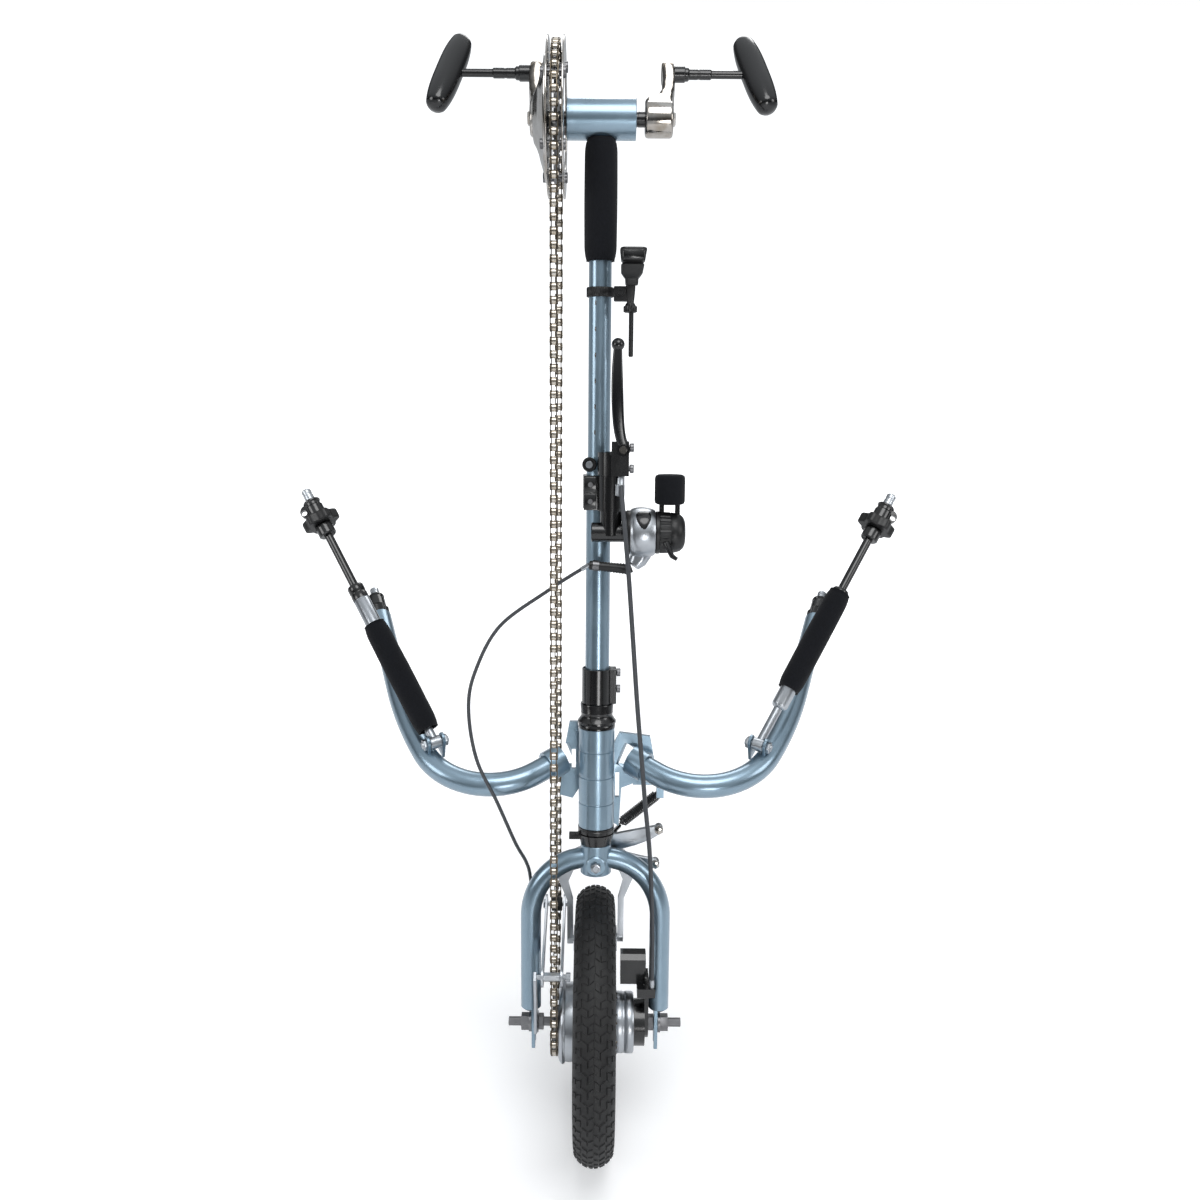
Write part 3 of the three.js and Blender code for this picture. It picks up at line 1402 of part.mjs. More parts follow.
function armStations(side) {
  const from = degrees(armLine.innerTurn);
  const to = degrees(armLine.outerTurn);
  const end = degrees(armLine.endTurn);
  const bend = (turn) => [
    armSpread + armBendRadius * Math.sin(turn),
    armLine.centreBack - armBendRadius * Math.cos(turn),
  ];
  const start = bend(from);
  const places = [[armLine.inner, start[1] - (start[0] - armLine.inner) * Math.tan(from)]];
  for (let i = 0; i <= armLine.bendSteps; i++) places.push(bend(from + ((to - from) * i) / armLine.bendSteps));
  const last = bend(to);
  for (let i = 1; i <= armLine.gentleSteps; i++) {
    const turn = to + ((end - to) * i) / armLine.gentleSteps;
    places.push([
      last[0] + armLine.gentleRadius * (Math.sin(turn) - Math.sin(to)),
      last[1] + armLine.gentleRadius * (Math.cos(to) - Math.cos(turn)),
    ]);
  }
  const straight = places[places.length - 1];
  const rise = armLine.end - straight[1];
  places.push([straight[0] + rise / Math.tan(end), armLine.end]);
  return places.map(([across, back]) => inArmPlane(side, across, back));
}

const strutSeat = { across: 175, back: 112, up: 444 };
const strutPivot = (side) => at(side * strutSeat.across, strutSeat.back, strutSeat.up);
const pivot = { boltTurn: 28, boltRadius: 4, boltHalf: 15, cheek: 3, cheekIn: 7, eye: 7, eyeHalf: 6.2, cap: 6.5, capLength: 4 };
const pivotAxis = (side) => axisX.clone().applyAxisAngle(axisZ, degrees(-side * pivot.boltTurn));

function nearest(points, target) {
  return points.reduce((best, point) => (point.distanceTo(target) < best.distanceTo(target) ? point : best));
}

function frameArm(side) {
  const stations = armStations(side);
  const tube = tubeThrough(stations, armRadius, 0, smallSides);
  const centre = strutPivot(side);
  const axis = pivotAxis(side);
  const foot = nearest(new Stations(stations).getPoints(stations.length * 20), centre);
  const parts = [tube];
  const rise = centre.clone().sub(foot);
  const up = rise.clone().addScaledVector(axis, -rise.dot(axis)).normalize();
  const basis = new THREE.Matrix4().makeBasis(axis, up.clone().cross(axis), up);
  const turn = new THREE.Quaternion().setFromRotationMatrix(basis);
  for (const way of [-1, 1]) {
    const offset = axis.clone().multiplyScalar(way * (pivot.cheekIn + pivot.cheek / 2));
    const plate = block(
      at(-pivot.cheek / 2, -pivot.eye, -rise.dot(up)),
      at(pivot.cheek / 2, pivot.eye, pivot.eye / 2),
    );
    parts.push(placed(plate, centre.clone().add(offset), turn));
    const from = centre.clone().addScaledVector(axis, way * (pivot.cheekIn + pivot.cheek - bite));
    const to = from.clone().addScaledVector(axis, way * pivot.capLength);
    parts.push(rod(from, to, pivot.cap, hexSides));
  }
  const boltEnd = axis.clone().multiplyScalar(pivot.boltHalf);
  parts.push(rod(centre.clone().sub(boltEnd), centre.clone().add(boltEnd), pivot.boltRadius, boltSides));
  return join(...parts);
}

// Mounting plate: it sits behind the head tube and carries the saddles that grip both arms.
const mount = { front: 26, rear: 32, width: 62, bottom: 218.6, height: 118.4, saddleWall: 3.5, saddleIn: 40, saddleOut: 60, weldHalf: 9 };
const mountOutlineShares = [
  [-0.645, 0.3], [-0.42, 0.27], [-0.3, 0.37], [0.29, 0.37], [0.31, 0.03], [0.4, 0], [0.44, 0.37],
  [0.72, 0.43], [1, 0.69], [0.94, 0.865], [0.4, 0.9], [0.29, 0.79], [-0.29, 0.79], [-0.334, 1],
  [-0.48, 1], [-0.58, 0.7],
];
const mountSlotShares = [[-0.44, 0.55, 0.74], [0.33, 0.28, 0.52]];
const slotWidth = 4.5;
const springTab = { x: 70, half: 4, top: 274, bottom: 251, rear: 35.5 };

function mountingPlate() {
  const upright = new THREE.Quaternion().setFromAxisAngle(axisX, degrees(90));
  const place = ([across, up]) => [across * mount.width, mount.bottom + up * mount.height];
  const plate = placed(raised(mountOutlineShares.map(place), -mount.rear, -mount.front), at(0, 0, 0), upright);
  const slots = mountSlotShares.map(([across, low, high]) => {
    const [x, from] = place([across, low]);
    const [, to] = place([across, high]);
    return block(at(x, mount.front - overrun, from), at(x + slotWidth, mount.rear + overrun, to));
  });
  const weld = block(
    at(-mount.weldHalf, 0, headTubeBottom + cap.waistHeight),
    at(mount.weldHalf, mount.front + bite, headTubeTop - cap.waistHeight),
  );
  const parts = [plate, weld];
  const bores = [rod(onSteering(0), onSteering(mastLength), headTubeRadius + clearance, roundSides)];
  for (const side of [-1, 1]) {
    const [inner, next] = armStations(side).map(toSteering);
    const line = next.clone().sub(inner).normalize();
    const from = inner.clone().addScaledVector(line, bite * 2);
    const to = inner.clone().addScaledVector(line, mount.saddleOut - mount.saddleIn);
    parts.push(rod(from, to, armRadius + clearance + mount.saddleWall, smallSides));
    const bore = armRadius / Math.cos(Math.PI / smallSides) + clearance;
    bores.push(rod(inner.clone().addScaledVector(line, -armRadius), next, bore, smallSides));
  }
  const tab = block(
    at(springTab.x - springTab.half, mount.front, springTab.bottom),
    at(springTab.x + springTab.half, springTab.rear, springTab.top),
  );
  const tabArm = block(
    at(mount.saddleIn, mount.front, springTab.top - springTab.half * 2),
    at(springTab.x + springTab.half, mount.front + mount.saddleWall, springTab.top),
  );
  return cut(join(...parts, tab, tabArm), ...bores, ...slots);
}
piece("mounting_plate", mountingPlate(), paint);

// Clamp ends: a knob turns on the tube's end, and a hooked jaw ends in a steel pin.
const clamp = {
  knobLength: 14, neck: 10, neckLength: 20,
  pinRadius: 5.5, pinLength: 15, eyeRadius: 8, eyeBore: 3.5, eyeHalf: 3, eyeOut: 9,
};

const knobDip = 0.09;
const starLobes = 6;
const lobeSteps = 3;

function knob(lobes, radius, from, to, bore) {
  const shape = new THREE.Shape();
  const steps = lobes * lobeSteps;
  for (let i = 0; i < steps; i++) {
    const turn = (i / steps) * degrees(360);
    const r = radius * (1 - knobDip * (1 - Math.cos(lobes * turn)));
    const place = [r * Math.cos(turn), r * Math.sin(turn)];
    if (i === 0) shape.moveTo(...place);
    else shape.lineTo(...place);
  }
  const body = placed(raised(shape, 0, from.distanceTo(to)), from, along(from, to));
  return cut(body, rod(
    from.clone().lerp(to, -1),
    from.clone().lerp(to, 2),
    bore,
    smallSides,
  ));
}

// The jaw starts with a shank through the knob.
function jaw(from, line, outward, shank, shankLength) {
  const far = (distance) => from.clone().addScaledVector(line, distance);
  const neck = rod(from, far(clamp.neckLength), clamp.neck, smallSides);
  const shankPart = rod(far(-shankLength), far(bite), shank, boltSides);
  const pin = rod(far(clamp.neckLength - bite), far(clamp.neckLength + clamp.pinLength), clamp.pinRadius, smallSides);
  const eyeCentre = far(clamp.neckLength / 2).addScaledVector(outward, clamp.eyeOut);
  const across = line.clone().cross(outward).normalize();
  const eyeFrom = eyeCentre.clone().addScaledVector(across, -clamp.eyeHalf);
  const eyeTo = eyeCentre.clone().addScaledVector(across, clamp.eyeHalf);
  const eye = rod(eyeFrom, eyeTo, clamp.eyeRadius, smallSides);
  const hole = rod(
    eyeFrom.clone().addScaledVector(outward, clamp.eyeRadius / 2).addScaledVector(across, -overrun),
    eyeTo.clone().addScaledVector(outward, clamp.eyeRadius / 2).addScaledVector(across, overrun),
    clamp.eyeBore,
    boltSides,
  );
  return cut(join(neck, shankPart, pin, eye), hole);
}

const strutLine = (side) => at(
  side * Math.cos(degrees(strutElevation)) * Math.cos(degrees(strutSplay)),
  Math.cos(degrees(strutElevation)) * Math.sin(degrees(strutSplay)),
  Math.sin(degrees(strutElevation)),
);
const strut = { tubeEnd: 200, boreStart: 60, rodStart: 120, neck: 14, knobHeight: 12, foamStart: 70, foamEnd: 196 };

for (const [name, side] of [["left", -1], ["right", 1]]) {
  const stations = armStations(side);
  const armEnd = stations[stations.length - 1];
  const line = armEnd.clone().sub(stations[stations.length - 2]).normalize();
  const outward = axisX.clone().multiplyScalar(side).addScaledVector(line, -side * line.x).normalize();
  const far = (distance) => armEnd.clone().addScaledVector(line, distance);
  const knobEnd = clearance + clamp.knobLength;
  const lowerKnob = knob(starLobes, lowerKnobRadius, far(clearance), far(knobEnd), clamp.pinRadius + clearance);
  piece(`${name}_arm_knob`, lowerKnob, blackPlastic, handcycle);
  const jawFrom = far(knobEnd + clearance);
  const armJaw = jaw(jawFrom, line, outward, clamp.pinRadius, knobEnd + clearance + bite);
  piece(`${name}_arm`, join(frameArm(side), armJaw), paint, handcycle);

  const centre = strutPivot(side);
  const way = strutLine(side);
  const axis = pivotAxis(side);
  const up = (distance) => centre.clone().addScaledVector(way, distance);
  const eyeBar = (half, radius) =>
    rod(centre.clone().addScaledVector(axis, -half), centre.clone().addScaledVector(axis, half), radius, smallSides);
  const tube = join(
    eyeBar(pivot.eyeHalf, pivot.eye),
    rod(centre, up(strut.tubeEnd / 4), strutRodRadius, boltSides),
    rod(up(strut.tubeEnd / 4 - overrun), up(strut.tubeEnd), strutRadius, smallSides),
  );
  const bore = rod(up(strut.boreStart), up(strut.tubeEnd + overrun), strutRodRadius + clearance, smallSides);
  const eyeHole = eyeBar(pivot.boltHalf, pivot.boltRadius + clearance);
  piece(`${name}_strut_tube`, cut(tube, bore, eyeHole), satinAlloy, handcycle);

  const foam = pipe(up(strut.foamStart), up(strut.foamEnd), strutFoamRadius, strutRadius + clearance, smallSides);
  piece(`${name}_strut_foam`, foam, foamRubber, handcycle);
  const rodEnd = strutLength - strut.knobHeight / 2 - strut.neck;
  const strutRod = join(
    rod(up(strut.rodStart), up(rodEnd + bite), strutRodRadius, smallSides),
    rod(up(rodEnd), up(strutLength - strut.knobHeight / 2 - clearance), clamp.neck, smallSides),
    jaw(
      up(strutLength + strut.knobHeight / 2 + clearance),
      way,
      axisX.clone().multiplyScalar(side).addScaledVector(way, -side * way.x).normalize(),
      clamp.pinRadius,
      strut.knobHeight + clearance * 2 + bite,
    ),
  );
  piece(`${name}_strut_rod`, strutRod, blackPaint, handcycle);
  const starKnob = knob(
    starLobes,
    starKnobRadius,
    up(strutLength - strut.knobHeight / 2),
    up(strutLength + strut.knobHeight / 2),
    clamp.pinRadius + clearance,
  );
  piece(`${name}_strut_knob`, starKnob, blackPlastic, handcycle);
}

// Centring spring between the collar's arm and the plate's tab: close turns between two
// straight ends, made as one unbroken wire.
const coil = { wire: 1.1, radius: 3.7, turns: 10, stepsPerTurn: 8, sides: 5, straight: 2.6 };
const springFrom = springFoot.clone().add(at(0, collar.armTip / 2 + clearance + coil.wire, 0));
const springTo = at(springTab.x, springTab.rear + clearance + coil.wire, springTab.bottom + springTab.half);
const springHook = 8;

function springStations() {
  const line = springTo.clone().sub(springFrom);
  const length = line.length();
  line.normalize();
  const out = axisY.clone().addScaledVector(line, -line.y).normalize();
  const across = line.clone().cross(out);
  const stations = [springFrom.clone()];
  const coilLength = length - springHook * 2;
  const count = coil.turns * coil.stepsPerTurn;
  for (let i = 0; i <= count; i++) {
    const turn = (i / coil.stepsPerTurn) * degrees(360);
    stations.push(
      springFrom
        .clone()
        .addScaledVector(line, springHook + (coilLength * i) / count)
        .addScaledVector(out, coil.radius * Math.cos(turn))
        .addScaledVector(across, coil.radius * Math.sin(turn)),
    );
  }
  stations.push(springTo.clone());
  return stations;
}

function leastGap(stations, radius, apart) {
  let least = Infinity;
  for (let i = 0; i < stations.length; i++) {
    for (let j = i + apart; j < stations.length; j++) {
      least = Math.min(least, stations[i].distanceTo(stations[j]) - 2 * radius);
    }
  }
  return least;
}
const springLine = springStations();
console.log(`spring: least gap ${leastGap(springLine, coil.wire, coil.stepsPerTurn / 2).toFixed(2)} mm`);
piece("centring_spring", tubeThrough(springLine, coil.wire, 0, coil.sides), blackPaint);

// Brake and shift cables, from the controls down to the wheel
const brakeCableRadius = 2.4;
const shiftCableRadius = 1.9;
const brakeRoute = [
  [22, -40, 607], [23, -45, 590], [27, -54, 550], [31, -50, 505], [36, -40, 441], [41, -36, 377],
  [47, -33, 312], [51, -31, 268], [57, -27, 211], [60.5, -21, 151], [62, -17.5, 100], [62, -17.5, 50.3],
];
const shiftRoute = [
  [-9.3, -30, 517], [-28, -26, 505], [-51, -22, 489], [-101, -20, 451], [-126, -26, 405], [-133, -32, 366],
  [-125, -35, 313], [-104, -32, 265], [-86, -18, 215], [-76, 4, 185], [-72, 15.5, 162], [-69, 17, 120],
  [-68, 16.5, 80], [-68, 16, 34.3],
];
const cableSteps = 17;
const routePoints = (route) => route.map(([x, y, z]) => at(x, y, z));
piece("brake_cable", cordThrough(routePoints(brakeRoute), brakeCableRadius, cableSteps), cableJacket);
piece("shift_cable", cordThrough(routePoints(shiftRoute), shiftCableRadius, cableSteps), cableJacket);

export default handcycle;
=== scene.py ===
# %% [markdown]
# A hand-cranked front wheel for a wheelchair: one drive wheel in a fork, a leaning mast
# with cranks and a chain, and four clamp ends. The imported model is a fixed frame, and
# every piece here is made in place around it, in metres, with Z up.

# %% Load the frame
import json
import math

import bmesh
import bpy
from mathutils import Matrix, Vector, noise


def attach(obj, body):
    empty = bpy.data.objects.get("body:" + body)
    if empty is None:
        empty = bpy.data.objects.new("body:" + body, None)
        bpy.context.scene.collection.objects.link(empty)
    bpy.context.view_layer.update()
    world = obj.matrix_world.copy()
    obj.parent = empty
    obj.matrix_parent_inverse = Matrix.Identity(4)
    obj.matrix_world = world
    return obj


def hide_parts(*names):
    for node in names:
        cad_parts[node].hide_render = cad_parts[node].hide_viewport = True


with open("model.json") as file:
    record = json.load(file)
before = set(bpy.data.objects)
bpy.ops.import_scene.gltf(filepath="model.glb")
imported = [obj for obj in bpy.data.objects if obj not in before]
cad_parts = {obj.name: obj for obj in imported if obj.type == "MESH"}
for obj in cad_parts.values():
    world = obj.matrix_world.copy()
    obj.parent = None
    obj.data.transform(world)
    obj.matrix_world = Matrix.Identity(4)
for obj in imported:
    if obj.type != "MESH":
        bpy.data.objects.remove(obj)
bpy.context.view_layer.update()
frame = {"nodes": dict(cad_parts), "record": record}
NODES = frame["nodes"]

# %% [markdown]
# The photograph is taken from in front of the wheel and a little above the cranks, so
# the camera stands in front, looks down by 27 degrees, and is rolled by half a degree.

# %% Camera
CAMERA_PLACE = Vector((0.0023, -0.9666, 1.183))
LOOK = Vector((0, 0.886, -0.463)).normalized()
ROLL = math.radians(0.46)
SENSOR = 36
PHOTO_WIDTH = 1200
PHOTO_FOCAL = 1200


def photo_camera():
    data = bpy.data.cameras.new("photo_camera")
    data.sensor_width = SENSOR
    data.sensor_fit = "HORIZONTAL"
    data.lens = SENSOR * PHOTO_FOCAL / PHOTO_WIDTH
    data.clip_start = 0.01
    camera = bpy.data.objects.new("photo_camera", data)
    bpy.context.scene.collection.objects.link(camera)
    side = LOOK.cross(Vector((0, 0, 1))).normalized()
    turn = Matrix((side, side.cross(LOOK), -LOOK)).transposed().to_4x4()
    camera.matrix_world = Matrix.Translation(CAMERA_PLACE) @ turn @ Matrix.Rotation(ROLL, 4, "Z")
    bpy.context.scene.camera = camera


photo_camera()

# %% [markdown]
# Polished tubes show the room, so the room is pale with a darker band at the height of
# the walls, and five broad lamps give each tube soft bright lines and darker edges.

# %% Lamps
# Each lamp: its place, the spot it is aimed at, its width in metres and its power in watts
LAMPS = {
    "lamp_above": ((0.3, -0.6, 3.0), (0, 0.2, 0.5), 1.6, 26),
    "lamp_left": ((-2.3, -0.9, 1.5), (0, 0.2, 0.6), 1.2, 14),
    "lamp_right": ((2.3, -0.6, 1.7), (0, 0.2, 0.6), 1.2, 12),
    "lamp_behind": ((0.4, 2.6, 2.2), (0, 0.2, 0.6), 1.4, 16),
    "lamp_front": ((0.55, -2.5, 0.75), (0, 0.2, 0.5), 0.8, 12),
}


def area_lamp(name, place, target, size, power):
    data = bpy.data.lights.new(name, "AREA")
    data.shape = "DISK"
    data.size = size
    data.energy = power
    lamp = bpy.data.objects.new(name, data)
    lamp.rotation_euler = (Vector(target) - Vector(place)).to_track_quat("-Z", "Y").to_euler()
    lamp.location = place
    bpy.context.scene.collection.objects.link(lamp)


for lamp_name, settings in LAMPS.items():
    area_lamp(lamp_name, *settings)

# %% Room
# How bright the room is from straight below to straight above
ROOM = ((0.0, 0.34), (0.44, 0.3), (0.52, 0.07), (0.62, 0.1), (0.74, 0.42), (1.0, 0.8))
ROOM_TINT = (0.93, 0.97, 1.0)


def white_room():
    """A world of graded greys that the camera itself sees as plain white."""
    world = bpy.data.worlds.new("white_room")
    world.use_nodes = True
    tree = world.node_tree
    room = tree.nodes["Background"]
    direction = tree.nodes.new("ShaderNodeTexCoord")
    parts = tree.nodes.new("ShaderNodeSeparateXYZ")
    height = tree.nodes.new("ShaderNodeMapRange")
    height.inputs["From Min"].default_value = -1
    shades = tree.nodes.new("ShaderNodeValToRGB")
    while len(shades.color_ramp.elements) < len(ROOM):
        shades.color_ramp.elements.new(0.5)
    for stop, (position, shade) in zip(shades.color_ramp.elements, ROOM):
        stop.position = position
        stop.color = (*[shade * tint for tint in ROOM_TINT], 1)
    white = tree.nodes.new("ShaderNodeBackground")
    white.inputs["Color"].default_value = (1, 1, 1, 1)
    rays = tree.nodes.new("ShaderNodeLightPath")
    both = tree.nodes.new("ShaderNodeMixShader")
    for start, end in (
        (direction.outputs["Generated"], parts.inputs[0]),
        (parts.outputs["Z"], height.inputs["Value"]),
        (height.outputs["Result"], shades.inputs["Fac"]),
        (shades.outputs["Color"], room.inputs["Color"]),
        (rays.outputs["Is Camera Ray"], both.inputs[0]),
        (room.outputs[0], both.inputs[1]),
        (white.outputs[0], both.inputs[2]),
        (both.outputs[0], tree.nodes["World Output"].inputs["Surface"]),
    ):
        tree.links.new(start, end)
    return world


bpy.context.scene.view_settings.view_transform = "Standard"
bpy.context.scene.world = white_room()

# %% [markdown]
# Materials are written as sums. A signal wraps one socket of a material, and adding or
# multiplying two signals makes the Math node that does it. A finish holds one material,
# its shader, and one method that makes any other node.

# %% Signals and finishes
class Signal:
    def __init__(self, finish, socket):
        self.finish = finish
        self.socket = socket

    def maths(self, operation, first, second=0.0):
        return self.finish.node("ShaderNodeMath", {"operation": operation}, {0: first, 1: second})

    def __add__(self, other):
        return self.maths("ADD", self, other)

    def __sub__(self, other):
        return self.maths("SUBTRACT", self, other)

    def __mul__(self, other):
        return self.maths("MULTIPLY", self, other)

    def __truediv__(self, other):
        return self.maths("DIVIDE", self, other)

    def clamped(self):
        return self.maths("MINIMUM", self.maths("MAXIMUM", self, 0.0), 1.0)

    __radd__ = __add__
    __rmul__ = __mul__


class Finish:
    def __init__(self, name, colour, roughness, metallic=0.0, **sockets):
        self.material = bpy.data.materials.new(name)
        self.material.use_nodes = True
        self.tree = self.material.node_tree
        self.shader = self.tree.nodes["Principled BSDF"]
        self.set(**{"Base Color": (*colour, 1), "Roughness": roughness, "Metallic": metallic, **sockets})
        self.place = Signal(self, self.tree.nodes.new("ShaderNodeTexCoord").outputs["Object"])

    def set(self, **sockets):
        for key, value in sockets.items():
            self.feed(self.shader.inputs[key], value)

    def feed(self, socket, value):
        if isinstance(value, Signal):
            self.tree.links.new(value.socket, socket)
        else:
            socket.default_value = value

    def node(self, kind, settings=None, sockets=None, output=0):
        made = self.tree.nodes.new(kind)
        for key, value in (settings or {}).items():
            setattr(made, key, value)
        for key, value in (sockets or {}).items():
            self.feed(made.inputs[key], value)
        return Signal(self, made.outputs[output])

    def noise(self, scale, detail=2.0, roughness=0.5):
        return self.node("ShaderNodeTexNoise", {}, {
            "Vector": self.place, "Scale": scale, "Detail": detail, "Roughness": roughness,
        })

    def blend(self, mask, first, second):
        return self.node("ShaderNodeMix", {"data_type": "RGBA"}, {
            0: mask, 6: (*first, 1) if isinstance(first, tuple) else first,
            7: (*second, 1) if isinstance(second, tuple) else second,
        }, output=2)

    def bump(self, height, distance, strength=1.0):
        return self.node("ShaderNodeBump", {}, {
            "Height": height, "Distance": distance, "Strength": strength,
        })

    def axes(self):
        parts = self.tree.nodes.new("ShaderNodeSeparateXYZ")
        self.feed(parts.inputs[0], self.place)
        return [Signal(self, parts.outputs[i]) for i in range(3)]

# %% [markdown]
# The frame is sprayed in a silver blue with fine metal flakes under a clear coat. The
# flakes tilt the light a little from point to point. A fine flake noise mixes a shaded
# and a lit tone of the paint into its colour as painted sparkle, and a broad noise varies
# the tone at random. The flake noise also moves the surface, and the coat stays smooth
# over both.

# %% Silver-blue paint
# A shaded and a lit tone of the same paint, mixed below as painted sparkle
PAINT_SHADED_TONE = (0.18, 0.265, 0.335)
PAINT_LIT_TONE = (0.32, 0.435, 0.53)


def paint_finish():
    made = Finish("silver_blue_paint", PAINT_LIT_TONE, 0.3, 0.82, **{"Coat Weight": 0.7, "Coat Roughness": 0.06})
    # The flake noise mixes the shaded and the lit tone into the colour as painted sparkle; the clouds vary
    # the tone at random
    flake_sparkle = made.noise(2600, 1)
    clouds = made.noise(30, 3)
    made.set(**{
        "Base Color": made.blend((flake_sparkle * 0.8 + clouds * 0.5 - 0.15).clamped(), PAINT_SHADED_TONE, PAINT_LIT_TONE),
        "Roughness": 0.24 + clouds * 0.14,
        "Normal": made.bump(flake_sparkle, 0.00004, 0.35),
    })
    return made


# %% [markdown]
# Bare metals differ by how they were finished. Chrome is smooth and shows the room,
# satin alloy is blasted, and steel parts carry turning marks and a film of oil. The brown
# patches in chrome and the brown chrome of the cranks are painted reflections.

# %% Metals
def metal_finish(name, colour, shade, roughness, grain=900, depth=0.00003, patches=25, **sockets):
    made = Finish(name, colour, roughness, 1.0, **sockets)
    fine = made.noise(grain, 2)
    broad = made.noise(patches, 4, 0.6)
    made.set(**{
        "Base Color": made.blend((broad * 1.6 - 0.35).clamped(), shade, colour),
        "Roughness": roughness * 0.7 + broad * roughness * 0.6,
        "Normal": made.bump(fine + broad * 0.5, depth, 0.5),
    })
    return made


# %% [markdown]
# Black parts look different because of their surface. Gloss paint has a coat, moulded
# plastic has a fine grain, and rubber scatters the light softly.

# %% Blacks
def black_finish(name, colour, roughness, grain, depth, dust, amount=0.35, **sockets):
    made = Finish(name, colour, roughness, 0.0, **sockets)
    fine = made.noise(grain, 2)
    broad = made.noise(60, 4, 0.65)
    made.set(**{
        "Base Color": made.blend(((broad - 0.45) * amount * 2).clamped(), colour, dust),
        "Roughness": roughness * 0.85 + broad * roughness * 0.3,
        "Normal": made.bump(fine + broad * 0.4, depth, 0.6),
    })
    return made


# %% [markdown]
# The sleeves are closed-cell foam rubber: matt, nearly black, with pores of half a
# millimetre that a cell pattern gives, and a faint sheen where fibres of dust sit.

# %% Foam rubber
PORES = 1500
FOAM_DARK = (0.0025, 0.003, 0.0045)
FOAM_LIGHT = (0.009, 0.01, 0.014)


def foam_finish():
    made = Finish("foam_rubber", FOAM_DARK, 0.92, 0.0, **{"Sheen Weight": 0.06, "Specular IOR Level": 0.2})
    cells = made.node("ShaderNodeTexVoronoi", {"feature": "F1"}, {"Vector": made.place, "Scale": PORES})
    broad = made.noise(90, 4, 0.6)
    made.set(**{
        "Base Color": made.blend((cells * 0.7 + broad * 0.6 - 0.35).clamped(), FOAM_DARK, FOAM_LIGHT),
        "Roughness": 0.82 + broad * 0.16,
        "Normal": made.bump(cells + broad * 0.6, 0.00025, 0.7),
    })
    return made


FINISHES = {
    "frame_paint": paint_finish(),
    # Chrome's brown patches, mixed in by broad noise, are painted brown reflections
    "chrome": metal_finish("chrome", (0.74, 0.74, 0.74), (0.27, 0.225, 0.175), 0.13, 500, 0.00002, 38),
    # Chrome tinted brown all over: a painted brown reflection on the crank bars and eyes
    "painted_reflection_chrome": metal_finish("painted_reflection_chrome", (0.5, 0.44, 0.37), (0.2, 0.165, 0.13), 0.2, 500, 0.00002, 30),
    "satin_alloy": metal_finish("satin_alloy", (0.58, 0.61, 0.64), (0.36, 0.38, 0.41), 0.32),
    "dark_steel": metal_finish("dark_steel", (0.3, 0.3, 0.31), (0.13, 0.13, 0.135), 0.38, 700),
    "chain_steel": metal_finish("chain_steel", (0.2, 0.165, 0.12), (0.05, 0.042, 0.034), 0.36,
                                900, 0.00004, 120),
    "roller_steel": metal_finish("roller_steel", (0.78, 0.76, 0.72), (0.4, 0.33, 0.24), 0.2,
                                 900, 0.00002, 120),
    "black_paint": black_finish("black_paint", (0.0025, 0.0025, 0.003), 0.24, 800, 0.00002,
                                (0.01, 0.01, 0.011), 0.2, **{"Coat Weight": 0.5, "Coat Roughness": 0.12}),
    "black_plastic": black_finish("black_plastic", (0.0035, 0.0035, 0.004), 0.4, 1600, 0.00006,
                                  (0.018, 0.018, 0.019)),
    "gloss_rubber": black_finish("gloss_rubber", (0.002, 0.002, 0.0028), 0.2, 900, 0.00002,
                                 (0.006, 0.006, 0.008), 0.15, **{"Coat Weight": 0.4, "Coat Roughness": 0.1}),
    "foam": foam_finish(),
    "tyre_rubber": black_finish("tyre_rubber", (0.006, 0.006, 0.0065), 0.6, 1200, 0.00012,
                                (0.03, 0.029, 0.028), 0.5),
    "cable_jacket": black_finish("cable_jacket", (0.045, 0.049, 0.056), 0.42, 900, 0.00002,
                                 (0.07, 0.075, 0.085)),
    "brass": metal_finish("brass", (0.72, 0.5, 0.2), (0.4, 0.26, 0.1), 0.3),
}
print("finishes:", len(FINISHES))
SLOTS = {part["node"]: part["material_slot"] for part in frame["record"]["subparts"]}

# %% [markdown]
# The steerer, mast, fork and wheel share one frame that leans back by 18 degrees from
# the axle. Pieces on it are made upright round the Z axis and then placed by STEER.
# Sizes are given in millimetres and scaled by MM where they reach the mesh.

# %% The leaning frame and the mesh helpers
MM = 0.001
LEAN = math.radians(18)
AXLE_HEIGHT = 148.5
STEER = Matrix.Translation((0, 0, AXLE_HEIGHT * MM)) @ Matrix.Rotation(-LEAN, 4, "X")
ROUND = 48
SHARP = math.radians(35)
BODY_OF = {node: body for body, nodes in frame["record"]["behaviour"]["bodies"].items() for node in nodes}


def leaning(x, rear, up):
    return STEER @ (Vector((x, rear, up)) * MM)


def place_at(x, rear, up):
    """The leaning frame, moved to a point in millimetres."""
    return STEER @ Matrix.Translation(Vector((x, rear, up)) * MM)


def finished(name, bm, node, slot_name=None, finish=None, place=None, hides=(), sharp=SHARP, outward=True):
    """Makes a piece of the mesh, gives it a finish and lets it ride where the node rides."""
    if place:
        bmesh.ops.transform(bm, matrix=place, verts=bm.verts)
    bmesh.ops.remove_doubles(bm, verts=bm.verts, dist=0.000002)
    if outward:
        bmesh.ops.recalc_face_normals(bm, faces=bm.faces)
    mesh = bpy.data.meshes.new(name)
    bm.to_mesh(mesh)
    bm.free()
    mesh.polygons.foreach_set("use_smooth", [True] * len(mesh.polygons))
    mesh.set_sharp_from_angle(angle=sharp)
    piece = bpy.data.objects.new(name, mesh)
    bpy.context.scene.collection.objects.link(piece)
    slot_name = slot_name or SLOTS[node]
    mesh.materials.append(FINISHES[finish or slot_name].material)
    if hides:
        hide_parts(*hides)
    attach(piece, BODY_OF[node])
    return piece


